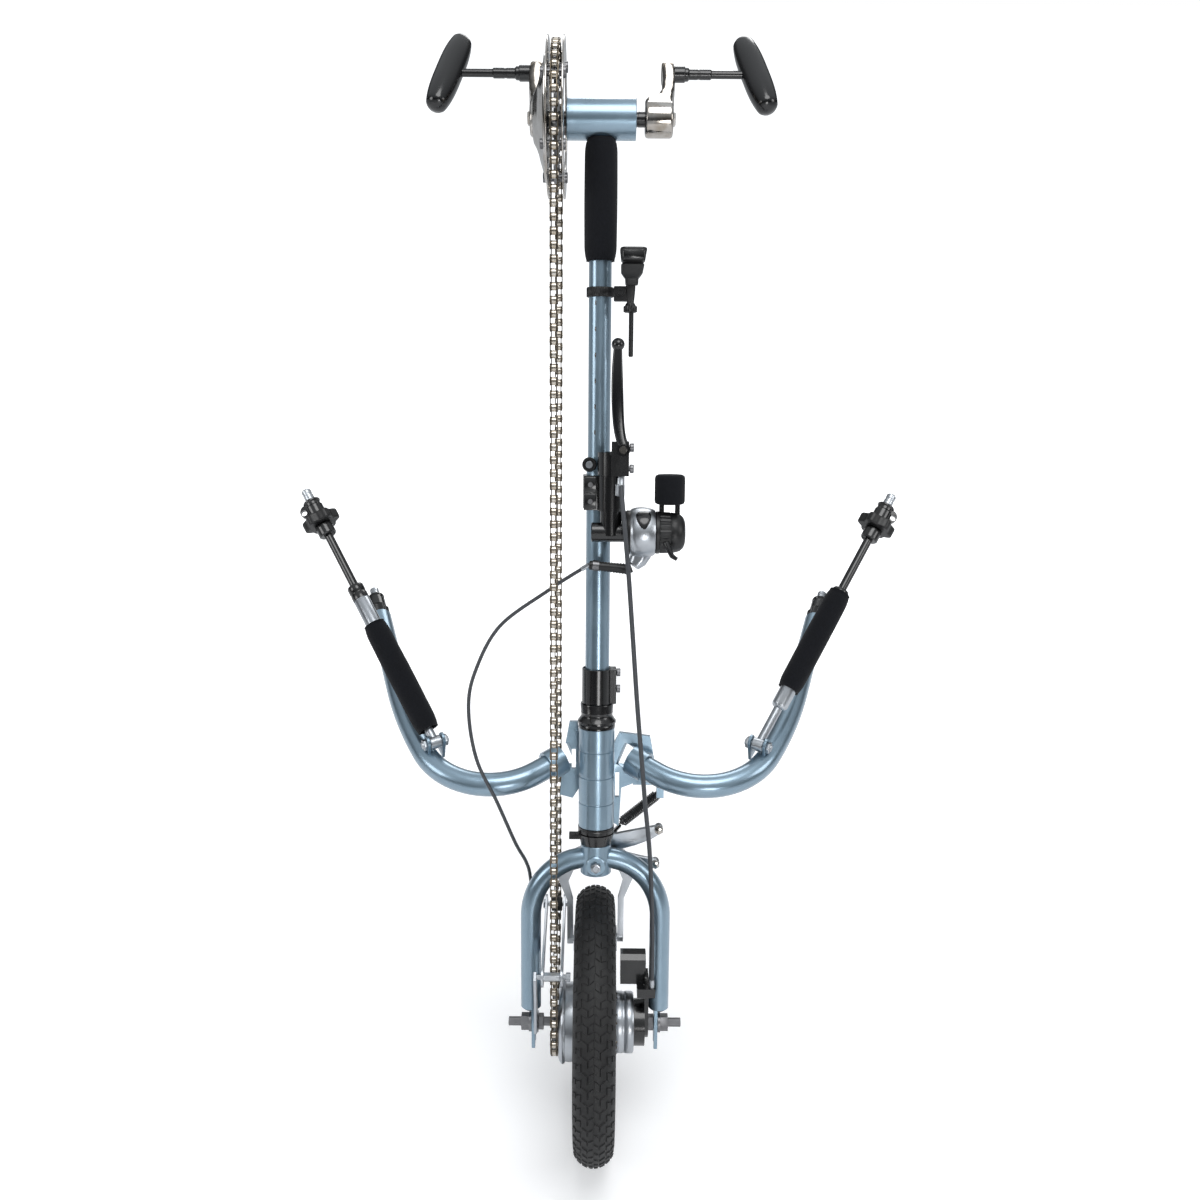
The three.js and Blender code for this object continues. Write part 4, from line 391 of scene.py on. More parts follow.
def bevelled(piece, width, segments=2, angle=SHARP):
    bevel = piece.modifiers.new("edges", "BEVEL")
    bevel.width = width
    bevel.segments = segments
    bevel.limit_method = "ANGLE"
    bevel.angle_limit = angle
    bevel.harden_normals = True
    return piece


def spun(profile, steps=ROUND):
    """A closed profile of [radius, height] in millimetres, spun once round Z."""
    bm = bmesh.new()
    corners = [bm.verts.new((radius * MM, 0, height * MM)) for radius, height in profile]
    edges = [bm.edges.new((a, b)) for a, b in zip(corners, corners[1:] + corners[:1])]
    bmesh.ops.spin(bm, geom=corners + edges, axis=(0, 0, 1), cent=(0, 0, 0), dvec=(0, 0, 0),
                   angle=math.tau, steps=steps, use_merge=True, use_duplicate=False)
    bmesh.ops.remove_doubles(bm, verts=bm.verts, dist=0.000002)
    for face in [face for face in bm.faces if face.calc_area() < 1e-14]:
        bm.faces.remove(face)
    return bm


def swept(points, radius, sides=24, ends=True):
    """A round bar along a line of points, in metres. Radius is a number or one per point."""
    bm = bmesh.new()
    radii = radius if isinstance(radius, (list, tuple)) else [radius] * len(points)
    points = [Vector(point) for point in points]
    rings = []
    turn = None
    for i, point in enumerate(points):
        way = (points[min(i + 1, len(points) - 1)] - points[max(i - 1, 0)]).normalized()
        turn = way.to_track_quat("Z", "Y") if turn is None else turn.rotation_difference(turn) @ turn
        turn = (turn @ Vector((0, 0, 1))).rotation_difference(way) @ turn
        matrix = Matrix.Translation(point) @ turn.to_matrix().to_4x4()
        ring = bmesh.ops.create_circle(bm, cap_ends=False, segments=sides, radius=radii[i],
                                       matrix=matrix)["verts"]
        rings.append(list({edge for vert in ring for edge in vert.link_edges}))
    for first, second in zip(rings, rings[1:]):
        bmesh.ops.bridge_loops(bm, edges=first + second)
    if ends:
        bmesh.ops.holes_fill(bm, edges=[e for e in bm.edges if e.is_boundary])
    return bm


def skinned(bm, rows):
    """Joins rows of points, equally many in each, by walls, and closes both ends."""
    rings = [[bm.verts.new(point) for point in row] for row in rows]
    for low, high in zip(rings, rings[1:]):
        for i in range(len(low)):
            after = (i + 1) % len(low)
            bm.faces.new((low[i], low[after], high[after], high[i]))
    bm.faces.new(rings[0][::-1])
    bm.faces.new(rings[-1])
    return bm


def block(size):
    """A plain box round the origin."""
    bm = bmesh.new()
    bmesh.ops.create_cube(bm, size=1)
    bmesh.ops.scale(bm, vec=size, verts=bm.verts)
    return bm


def dressed(node, bevel=0.0003, segments=2, finish=None):
    """A node's own shape with smooth rounds, small bevels and its finish."""
    bm = bmesh.new()
    bm.from_mesh(NODES[node].data)
    bmesh.ops.remove_doubles(bm, verts=bm.verts, dist=0.000002)
    bmesh.ops.dissolve_limit(bm, angle_limit=math.radians(0.6), verts=bm.verts, edges=bm.edges)
    piece = finished(node + "_piece", bm, node, finish=finish, hides=(node,), outward=False)
    bevelled(piece, bevel, segments)


# %% [markdown]
# The tyre is a moulded ring with chevron tread. Its carcass is an outline spun round the
# axle. The tread is a few flat blocks, raised, repeated round the wheel and bent onto
# the carcass, because cut grooves would need a far heavier mesh for the same look.

# %% Tyre
WHEEL = Matrix.Translation((0, 0, AXLE_HEIGHT * MM)) @ Matrix.Rotation(math.radians(90), 4, "Y")
TYRE_STEPS = 112
TYRE_HALF = 23.5
TYRE_CENTRE = AXLE_HEIGHT - TYRE_HALF
TYRE_WALL = 3.5
WALL_TURN = math.radians(120)
TREAD_DEPTH = 1.3
TREAD_PITCHES = 58
TREAD_SINK = 0.15
BLOCK_TAPER = 0.84
RIM_SEAT = 94.3
RIM_LIP = 102.1
BEAD_OUT = 12.7


def arc(centre, radius, first, last, steps):
    return [
        (centre + radius * math.cos(first + (last - first) * i / steps),
         radius * math.sin(first + (last - first) * i / steps))
        for i in range(steps + 1)
    ]


def tyre():
    carcass = TYRE_HALF - TREAD_DEPTH
    outside = arc(TYRE_CENTRE, carcass, -WALL_TURN, WALL_TURN, 26)
    inside = arc(TYRE_CENTRE, TYRE_HALF - TYRE_WALL, WALL_TURN, -WALL_TURN, 8)
    profile = [
        (RIM_SEAT, -BEAD_OUT), (RIM_LIP, -BEAD_OUT), *outside, (RIM_LIP, BEAD_OUT), (RIM_SEAT, BEAD_OUT),
        (RIM_SEAT, BEAD_OUT - TYRE_WALL), *inside, (RIM_SEAT, TYRE_WALL - BEAD_OUT),
    ]
    finished("tyre_carcass", spun(profile, TYRE_STEPS), "tyre", place=WHEEL, hides=("tyre",))


tyre()

# %% Tread blocks
# Each block: where it starts and ends across the crown, its slant, its length and its
# place along one pitch, in shares of the pitch
PITCH = math.tau * AXLE_HEIGHT / TREAD_PITCHES
BLOCKS = [
    (0.4, 5.4, 0.75, 0.52, 0.0),
    (6.6, 13.2, -0.55, 0.5, 0.3),
    (14.4, 20.5, 0.45, 0.56, 0.55),
    (21.8, 27.5, 0.2, 0.4, 0.62),
]


def tread():
    bm = bmesh.new()
    for side in (-1, 1):
        for low, high, slant, length, start in BLOCKS:
            block = bmesh.ops.create_grid(bm, x_segments=1, y_segments=2, size=0.5)["verts"]
            faces = list({face for vert in block for face in vert.link_faces})
            for vert in block:
                across = low + (high - low) * (vert.co.y + 0.5)
                along = (start + (vert.co.x + 0.5) * length) * PITCH + slant * (across - low)
                vert.co = (side * across, along + (PITCH / 2 if side > 0 else 0), -TREAD_DEPTH)
            top = bmesh.ops.extrude_face_region(bm, geom=faces)["geom"]
            raised = [vert for vert in top if isinstance(vert, bmesh.types.BMVert)]
            middle = sum((vert.co for vert in raised), Vector()) / len(raised)
            for vert in raised:
                vert.co.z = 0
                vert.co.xy = middle.xy + (vert.co.xy - middle.xy) * BLOCK_TAPER
    first = list(bm.verts)
    for i in range(1, TREAD_PITCHES):
        copied = bmesh.ops.duplicate(bm, geom=first + list({f for v in first for f in v.link_faces}))["geom"]
        for item in copied:
            if isinstance(item, bmesh.types.BMVert):
                item.co.y += i * PITCH
    for vert in bm.verts:
        across, along, height = vert.co
        section = across / TYRE_HALF
        reach = TYRE_HALF + height - TREAD_SINK
        radius = TYRE_CENTRE + reach * math.cos(section)
        turn = along / AXLE_HEIGHT
        vert.co = Vector((radius * math.cos(turn), radius * math.sin(turn), reach * math.sin(section))) * MM
    finished("tyre_tread", bm, "tyre", place=WHEEL, hides=("tyre",))
    print("tread blocks:", TREAD_PITCHES * len(BLOCKS) * 2)


tread()

# %% [markdown]
# The rim is a rolled alloy channel: a spun outline with small bevels. The hub is a
# geared drum with a rounded cap on the chain side. Twenty-eight steel spokes run from
# its flanges to brass nipples in the rim.

# %% Rim, hub and spokes
RIM_HALF = 16.0
RIM_TOP = 101.5
RIM_BASE = 84.5
RIM_WELL = 9.0
SPOKES = 28
SPOKE_RADIUS = 1.1


def rim():
    half = [(RIM_BASE, RIM_WELL), (RIM_BASE + 2.5, RIM_WELL + 2.6), (RIM_TOP - 11, RIM_HALF - 0.5),
            (RIM_TOP - 4, RIM_HALF), (RIM_TOP, RIM_HALF), (RIM_TOP, RIM_HALF - 2.8), (94, RIM_HALF - 3)]
    profile = half + [(radius, -across) for radius, across in reversed(half)]
    bevelled(finished("rim_channel", spun(profile, TYRE_STEPS), "rim", place=WHEEL, hides=("rim",)), 0.0004)


rim()
FLANGE_LEFT = -24.0
FLANGE_RIGHT = 25.0
FLANGE_EDGE = 3.0
FLANGE_RADIUS = 39.0
DRUM_RADIUS = 33.0
CROSSING = math.radians(24)
NIPPLE_LENGTH = 11.0
NIPPLE_RADIUS = SPOKE_RADIUS * 1.7
NIPPLE_ASIDE = 3.0


def hub():
    profile = [
        (5.4, -32), (16.2, -32), (16.2, -38.9), (39, -39.2), (42, -38.2), (44, -36.4), (44.6, -35),
        (44, -33.4), (42, -32), (42.3, -31), (42.3, -21), (41.4, -20), (38, -19.6), (31, -18), (27.2, -15.4),
        (26, -12), (26, 12), (27, 16), (30, 19.4), (32.2, 21.6), (33, 24), (33, 30), (32.4, 31.2), (32.4, 33),
        (33, 34), (33, 41), (31.8, 42.8), (5.4, 42.8),
    ]
    finished("hub_shell", spun(profile, 72), "hub", place=WHEEL, hides=("hub",))


hub()


def spokes():
    bm = bmesh.new()
    nipples = bmesh.new()
    for i in range(SPOKES):
        left = i % 2 == 0
        turn = math.tau * i / SPOKES
        crossing = CROSSING if i % 4 < 2 else -CROSSING
        flange = (FLANGE_RADIUS if left else DRUM_RADIUS) - FLANGE_EDGE
        rest = Vector((FLANGE_LEFT if left else FLANGE_RIGHT,
                       flange * math.cos(turn + crossing), flange * math.sin(turn + crossing)))
        rim_spot = Vector((-NIPPLE_ASIDE if left else NIPPLE_ASIDE,
                           RIM_BASE * math.cos(turn), RIM_BASE * math.sin(turn)))
        inward = (rest - rim_spot).normalized()
        for mesh, near, far, radius, sides in (
            (bm, rest, rim_spot, SPOKE_RADIUS, 10),
            (nipples, rim_spot + inward * NIPPLE_LENGTH, rim_spot - inward * 0.2, NIPPLE_RADIUS, 12),
        ):
            way = far - near
            turned = way.to_track_quat("Z", "Y").to_matrix().to_4x4()
            bmesh.ops.create_cone(mesh, cap_ends=True, segments=sides, radius1=radius * MM,
                                  radius2=radius * MM, depth=way.length * MM,
                                  matrix=Matrix.Translation((near + far) / 2 * MM) @ turned)
    stand = Matrix.Translation((0, 0, AXLE_HEIGHT * MM))
    finished("spokes", bm, "hub", place=stand, finish="chain_steel", hides=("hub",))
    finished("spoke_nipples", nipples, "hub", place=stand, finish="brass", hides=("hub",))


spokes()

# %% [markdown]
# The tubes are round all along, so each is a spun outline: a wall with rounded lips. The
# head tube has two shallow bands where its bearings' seats were turned.

# %% Mast, head tube and headset
def upright(name, node, profile, steps=ROUND, finish=None, hides=None, place=STEER):
    return finished(name, spun(profile, steps), node, place=place, finish=finish, hides=hides or (node,))


def tube_profile(low, high, outside, inside, lip=0.4):
    return [
        (inside, low), (outside - lip, low), (outside, low + lip), (outside, high - lip),
        (outside - lip, high), (inside, high),
    ]


upright("lower_mast_tube", "lower_mast", tube_profile(300, 612, 12.7, 11.7))
HEAD_BOTTOM = 229.3
HEAD_LENGTH = 109.7
GROOVES = (0.25, 0.516, 0.776)
GROOVE = ((19, -1.2), (18.4, -0.8), (18.2, 0), (18.4, 0.8), (19, 1.2))


def head_tube_profile():
    top = HEAD_BOTTOM + HEAD_LENGTH
    profile = [(17, HEAD_BOTTOM), (18.5, HEAD_BOTTOM), (19, HEAD_BOTTOM + 0.5)]
    for share in GROOVES:
        centre = HEAD_BOTTOM + share * HEAD_LENGTH
        profile += [(radius, centre + above) for radius, above in GROOVE]
    return profile + [(19, top - 0.5), (18.5, top), (17, top)]


upright("head_tube_shell", "head_tube", head_tube_profile(), 64)
upright("lower_cup", "lower_headset_cup", [
    (14.7, 222), (18.2, 222), (19.5, 223), (19.5, 226.6), (19.2, 227), (19.2, 227.6), (19.5, 228),
    (19.5, 229), (16.6, 229), (16.6, 237.2), (14.7, 237.2),
])
upright("upper_cup", "upper_headset_cup", [
    (14.7, 331.2), (16.6, 331.2), (16.6, 339.3), (19.5, 339.3), (19.5, 342.6), (18.8, 343.7), (14.7, 343.7),
])
upright("headset_cap_ring", "headset_cap", [
    (14.7, 344), (19.9, 344), (20.3, 344.5), (20.3, 346.6), (19.6, 347.3), (17, 351.4), (16.6, 352.6),
    (16.8, 355), (17.2, 355.6), (17.2, 356.4), (16.9, 357), (17.6, 364.4), (17.2, 365.4), (14.7, 365.5),
])

# %% [markdown]
# The upper mast ends in the shell that holds the crank's bearings. The two are brazed,
# so a soft fillet runs round the joint. The foam sleeve under it is pushed on by hand:
# it is fuller in the middle, rounded at both lips, and follows the shell above it.

# %% Upper mast, crank shell and foam sleeve
MAST_TOP = 954.0
UPPER_RADIUS = 11.4
SHELL_RADIUS = 20.0
SHELL_HALF = 34.0
CRANKS = place_at(0, 0, MAST_TOP)
ACROSS = Matrix.Rotation(math.radians(90), 4, "Y")

upright("upper_mast_tube", "upper_mast", tube_profile(500, MAST_TOP - 18.4, UPPER_RADIUS, 10.4))
upright("crank_shell", "upper_mast", [
    (17.5, -SHELL_HALF), (19.4, -SHELL_HALF), (20, -33.4), (20, 33.4), (19.4, SHELL_HALF), (17.5, SHELL_HALF),
], 64, place=CRANKS @ ACROSS)
upright("bearing_cups", "crank_bearing", [
    (7.8, -SHELL_HALF), (16.9, -SHELL_HALF), (16.9, SHELL_HALF), (7.8, SHELL_HALF), (7.8, 33), (14.4, 31.4),
    (14.4, -31.4), (7.8, -33),
], 48, place=CRANKS @ ACROSS)


# How far the foam is pressed in by hands, in metres, and how often in a metre: broad
# hollows first, then small ones
DENTS = ((0.00035, 38), (0.00009, 160))
FOAM_STEPS = 26
LIP_SHARE = 9


def foam_sleeve(name, node, frame_matrix, low, high, outside, inside, swell=0.5, seed=3, trim=None):
    """A soft tube: rounded lips, a slight swell, and shallow dents from handling."""
    lip = (outside - inside) * 0.42
    profile = [(inside, low + lip), (inside + lip * 0.4, low + 0.2), (outside - lip, low)]
    for i in range(FOAM_STEPS + 1):
        share = i / FOAM_STEPS
        round_off = lip * (max(0, 1 - share * LIP_SHARE) ** 2 + max(0, 1 - (1 - share) * LIP_SHARE) ** 2)
        profile.append((outside - round_off + swell * math.sin(math.pi * share) - swell,
                        low + 0.3 + (high - low - 0.6) * share))
    profile += [(outside - lip, high), (inside + lip * 0.4, high - 0.2), (inside, high - lip)]
    bm = spun(profile, 56)
    offset = Vector((seed, 0, 0))
    for vert in bm.verts:
        dent = sum(noise.noise(vert.co * often + offset) * depth for depth, often in DENTS)
        flat = Vector((vert.co.x, vert.co.y, 0))
        if flat.length > (inside + 1) * MM:
            vert.co -= flat.normalized() * max(dent, 0)
    if trim:
        trim(bm)
    piece = finished(name, bm, node, place=frame_matrix, hides=(node,), sharp=math.radians(70))


def under_the_shell(bm):
    """Lowers the sleeve's upper lip where the round shell sits on it."""
    room = (SHELL_RADIUS + 0.4) * MM
    for vert in bm.verts:
        ceiling = MAST_TOP * MM - math.sqrt(max(room * room - vert.co.y * vert.co.y, 0))
        vert.co.z = min(vert.co.z, ceiling)


foam_sleeve("mast_sleeve", "mast_foam", STEER, 819, 936, 16.5, 11.8, trim=under_the_shell)

# %% [markdown]
# The fork is bent from two tubes that are brazed to a short crown tube. Each tube is one
# round bar swept along a line of points: straight, a bend, and a short run into the
# crown. A flat dropout with a slot closes each lower end.

# %% Fork
BLADE_RADIUS = 11.1
BLADE_SPREAD = 70.6
STRAIGHT_TOP = 125.0
CROWN_MIDDLE = 192.5
BLADE_INSIDE = 8.0
DROPOUT_INNER = 65.5
DROPOUT_OUTER = 69.5
TIP_RADIUS = 8.0
LUG_SIZE = (0.008, 0.014, 0.008)


def blade_line(side):
    points = [(side * BLADE_SPREAD, 0, 16.2), (side * BLADE_SPREAD, 0, 19), (side * BLADE_SPREAD, 0, 70)]
    across = BLADE_SPREAD - BLADE_INSIDE
    rise = CROWN_MIDDLE - STRAIGHT_TOP
    for i in range(25):
        turn = math.radians(90) * i / 24
        x = BLADE_SPREAD - across * (1 - math.cos(turn))
        points.append((side * x, 0, STRAIGHT_TOP + rise * math.sin(turn)))
    return [leaning(*point) for point in points]


def plate(name, node, outline, low, high, place, holes=(), bevel=0.0004, **more):
    """A flat outline of points in millimetres, raised from low to high along Z."""
    bm = bmesh.new()
    loops = []
    for points in (outline, *holes):
        verts = [bm.verts.new((u * MM, v * MM, low * MM)) for u, v in points]
        loops += [bm.edges.new((a, b)) for a, b in zip(verts, verts[1:] + verts[:1])]
    filled = bmesh.ops.triangle_fill(bm, use_beauty=True, use_dissolve=True, edges=loops)["geom"]
    faces = [item for item in filled if isinstance(item, bmesh.types.BMFace)]
    top = bmesh.ops.extrude_face_region(bm, geom=faces)["geom"]
    for item in top:
        if isinstance(item, bmesh.types.BMVert):
            item.co.z = high * MM
    piece = finished(name, bm, node, place=place, hides=(node,), **more)
    return bevelled(piece, bevel) if bevel else piece


def ring_points(radius, count, centre=(0, 0)):
    turns = [math.tau * i / count for i in range(count)]
    return [(centre[0] + radius * math.cos(turn), centre[1] + radius * math.sin(turn)) for turn in turns]


def wavy(radius, depth, count, steps):
    """A circle in millimetres whose reach swells once for each rib or lobe."""
    points = []
    for i in range(steps):
        turn = math.tau * i / steps
        reach = radius + depth * math.cos(count * turn)
        points.append((reach * math.cos(turn), reach * math.sin(turn)))
    return points


# A plate that stands across the X axis: its outline's first number runs rearward, its
# second up, and it is raised along X
SIDEWAYS = Matrix(((0, 0, 1, 0), (1, 0, 0, 0), (0, 1, 0, 0), (0, 0, 0, 1)))


def dropout_outline():
    slot = [(5.3 * math.cos(t), 5.3 * math.sin(t)) for t in [math.pi * (1 - i / 12) for i in range(13)]]
    foot = [(11.8, -21), (10.8, -26.4), (9.6, -27), (6, -27), (5.3, -26)]
    left = [(-x, y) for x, y in reversed(foot)]
    top = [(-12, 0), (-10.6, 14), (-5.6, 47), (-3.6, 48), (3.6, 48), (5.6, 47), (10.6, 14), (12, 0)]
    return left + top + foot + slot[::-1]


for side, word in ((-1, "left"), (1, "right")):
    node = word + "_fork_blade"
    line = blade_line(side)
    radii = [TIP_RADIUS * MM] + [BLADE_RADIUS * MM] * (len(line) - 1)
    finished(word + "_blade_tube", swept(line, radii, 40), node, hides=(node,))
    low = DROPOUT_INNER if side > 0 else -DROPOUT_OUTER
    high = DROPOUT_OUTER if side > 0 else -DROPOUT_INNER
    plate(word + "_dropout", node, dropout_outline(), low, high, STEER @ SIDEWAYS)
cable_lug = finished("cable_lug", block(LUG_SIZE), "left_fork_blade",
                     place=place_at(-68, 13, 30))
bevelled(cable_lug, 0.0012, 3)

# %% Crown and steerer
upright("crown_tube", "fork_crown", [
    (0, 176), (15.9, 176), (16.5, 176.6), (16.5, 208.4), (15.9, 209), (14.3, 209), (14.3, 402), (13, 402),
    (13, 299.7), (0, 299.7),
], 56)
ALONG = Matrix.Rotation(math.radians(-90), 4, "X")
# A frame at the brake bolt, with its Z axis running rearward along the bolt
BRAKE_BOLT = place_at(0, 0, 188.2) @ ALONG


def hexagon(radius, low, high, chamfer=0.9):
    """A hexagon nut or head in millimetres with chamfered faces, its bore left closed."""
    bm = bmesh.new()
    bmesh.ops.create_cone(bm, cap_ends=True, segments=6, radius1=radius * MM, radius2=radius * MM,
                          depth=(high - low) * MM, matrix=Matrix.Translation((0, 0, (low + high) / 2 * MM)))
    rims = [edge for edge in bm.edges if abs(edge.verts[0].co.z - edge.verts[1].co.z) < 1e-7]
    bmesh.ops.bevel(bm, geom=rims, offset=chamfer * MM, segments=2, profile=0.5, affect="EDGES", material=-1)
    return bm


finished("crown_lobe", spun([(0, -18), (9.8, -18), (11, -17), (11, 0), (0, 0)]), "fork_crown",
         place=BRAKE_BOLT, hides=("fork_crown",))
finished("brake_bolt", spun([
    (0, -24), (3, -24), (3.5, -23.4), (3.5, 39.5), (3, 40), (0, 40),
], 24), "fork_crown", finish="satin_alloy", place=BRAKE_BOLT)
finished("brake_nut", hexagon(6, -23, -18), "fork_crown", finish="satin_alloy", place=BRAKE_BOLT)

# %% [markdown]
# The two arms hold the wheelchair. Each is one bar swept along a line that lies in a
# plane rising rearward: a bend by the head tube, a gentle curve outward and a straight
# end. A lug with two cheeks and a bolt carries the strut.

# %% Arms
ARM_RADIUS = 12.7
ARM_SPREAD = 115.0
ARM_BEND = 85.0
ARM_BACK = 82.0
ARM_ROOT = 37.0
ARM_SWEEP = 450.0
ARM_REACH = 252.0
ARM_TILT = math.radians(16)
ARM_START = Vector((0, 80, 415))
SIDES = ((-1, "left"), (1, "right"))


def arm_line(side):
    first, last, end = math.radians(-36), math.radians(60), math.radians(73)

    def bend(turn):
        return [ARM_SPREAD + ARM_BEND * math.sin(turn), ARM_BACK - ARM_BEND * math.cos(turn)]

    start = bend(first)
    places = [[ARM_ROOT, start[1] - (start[0] - ARM_ROOT) * math.tan(first)]]
    places += [bend(first + (last - first) * i / 22) for i in range(23)]
    corner = places[-1]
    for i in range(1, 9):
        turn = last + (end - last) * i / 8
        places.append([corner[0] + ARM_SWEEP * (math.sin(turn) - math.sin(last)),
                       corner[1] + ARM_SWEEP * (math.cos(last) - math.cos(turn))])
    straight = places[-1]
    places.append([straight[0] + (ARM_REACH - straight[1]) / math.tan(end), ARM_REACH])
    return [
        (ARM_START + Vector((side * across, back * math.cos(ARM_TILT), back * math.sin(ARM_TILT)))) * MM
        for across, back in places
    ]


def standing(origin, up, front):
    """A frame at a point in millimetres, with Z along up and X towards front."""
    z = Vector(up).normalized()
    x = (Vector(front) - z * z.dot(Vector(front))).normalized()
    turn = Matrix((x, z.cross(x), z)).transposed().to_4x4()
    return Matrix.Translation(Vector(origin) * MM) @ turn


LUG_CENTRE = Vector((175, 112, 444))
LUG_TURN = math.radians(28)
CHEEK_IN = 7.0
CHEEK = 3.0


def lug_frame(side):
    """A frame at the strut's bolt: Z along the bolt, Y away from the arm."""
    centre = Vector((side * LUG_CENTRE.x, LUG_CENTRE.y, LUG_CENTRE.z))
    axis = Matrix.Rotation(-side * LUG_TURN, 3, "Z") @ Vector((1, 0, 0))
    foot = min(arm_line(side), key=lambda point: (point - centre * MM).length)
    rise = centre - foot / MM
    up = rise - axis * rise.dot(axis)
    return standing(centre, axis, up.cross(axis)), up.length


def arm(side, word):
    node = word + "_arm"
    line = arm_line(side)
    tube = finished(word + "_arm_tube", swept(line, ARM_RADIUS * MM, 40), node, hides=(node,))
    bevelled(tube, 0.0008, 3)
    frame_at, drop = lug_frame(side)
    outline = [(-7, -drop), *[(7 * math.cos(t), 3 + 7 * math.sin(t)) for t in [
        math.pi * (1 - i / 14) for i in range(15)]], (7, -drop)]
    for low in (-CHEEK_IN - CHEEK, CHEEK_IN):
        plate(word + "_cheek", node, outline, low, low + CHEEK, frame_at, bevel=0.0005)
    bolt = spun([(0, -15), (3.4, -15), (4, -14.4), (4, 14.4), (3.4, 15), (0, 15)], 24)
    finished(word + "_strut_bolt", bolt, node, finish="satin_alloy", place=frame_at)
    for low, high in ((-13.8, -10), (10, 13.8)):
        finished(word + "_strut_nut", hexagon(6.5, low, high, 0.7), node, finish="satin_alloy",
                 place=frame_at)
    return line


ARM_LINES = {word: arm(side, word) for side, word in SIDES}

# %% [markdown]
# All four ends carry the same quick clamp: a knob that turns on the tube's end, a black
# neck with a hooked eye, and a bright pin that drops into the wheelchair's receiver.

# %% Clamp ends and knobs
KNOB_DIP = 0.09
KNOB_LOBES = 6
KNOB_STEPS = 96
KNOB_BORE = 5.8


def end_clamp(word, node, start, line, side, shank):
    """The neck, eye and pin from a starting point in millimetres along a line."""
    line = Vector(line).normalized()
    outward = (Vector((side, 0, 0)) - line * side * line.x).normalized()
    place = standing(start, line, outward)
    finished(word + "_neck", spun([
        (0, 0), (9.2, 0), (10, 0.8), (10, 12), (8.8, 13.6), (8.8, 16.6), (10, 18), (10, 19.2),
        (9.3, 20), (0, 20),
    ]), node, finish="black_paint", place=place)
    finished(word + "_shank", spun([(0, -shank), (5.5, -shank), (5.5, 0.6), (0, 0.6)], 28), node,
             finish="dark_steel", place=place)
    finished(word + "_pin", spun([
        (0, 19.4), (5.5, 19.4), (5.5, 27), (5, 27.6), (5, 29), (5.5, 29.6), (5.5, 33.4), (4.2, 35), (0, 35),
    ], 36), node, finish="satin_alloy", place=place)
    eye = Matrix(((1, 0, 0, 0.009), (0, 0, 1, 0), (0, -1, 0, 0.010), (0, 0, 0, 1)))
    plate(word + "_eye", node, ring_points(8, 40), -3, 3, place @ eye,
          holes=(ring_points(3.5, 20, (4, 0)),), finish="black_paint")


def lobed_knob(word, node, start, line, radius, height, rounding):
    """A star knob: a wavy outline with a bore, raised and rounded over."""
    outline = wavy(radius * (1 - KNOB_DIP), radius * KNOB_DIP, KNOB_LOBES, KNOB_STEPS)
    piece = plate(word, node, outline, 0, height, standing(start, line, (1, 0, 0)),
                  holes=(ring_points(KNOB_BORE, 32),), bevel=0, sharp=math.radians(50))
    bevelled(piece, rounding * MM, 4, math.radians(60))


STRUT_LENGTH = 288.0
STRUT_RADIUS = 9.0
STRUT_ROD = 4.8
KNOB_DROP = 6.0
COLLAR_LENGTH = 14.0
STRUT_UP = math.radians(40)
STRUT_SPLAY = math.radians(50.5)
# The sleeves slide on their tubes, and in the photograph the left one has slid down
SLEEVES = {"left": (16, 150), "right": (70, 196)}


def strut_way(side):
    level = math.cos(STRUT_UP)
    return Vector((side * level * math.cos(STRUT_SPLAY), level * math.sin(STRUT_SPLAY), math.sin(STRUT_UP)))


for side, word in SIDES:
    line = ARM_LINES[word]
    arm_end = line[-1] / MM
    way = (line[-1] - line[-2]).normalized()
    end_clamp(word + "_arm", word + "_arm", arm_end + way * 14.6, way, side, 15.2)
    lobed_knob(word + "_arm_knob", word + "_arm_knob", arm_end + way * 0.3, way, 12, 14, 2)

# %% [markdown]
# Each strut is a sprung tube: an eye on the bolt, a thin lower rod, the barrel with its
# foam sleeve, and a rod that slides out of the upper end and carries a star knob and the
# upper clamp. All of it is made upright and laid along the strut's line.

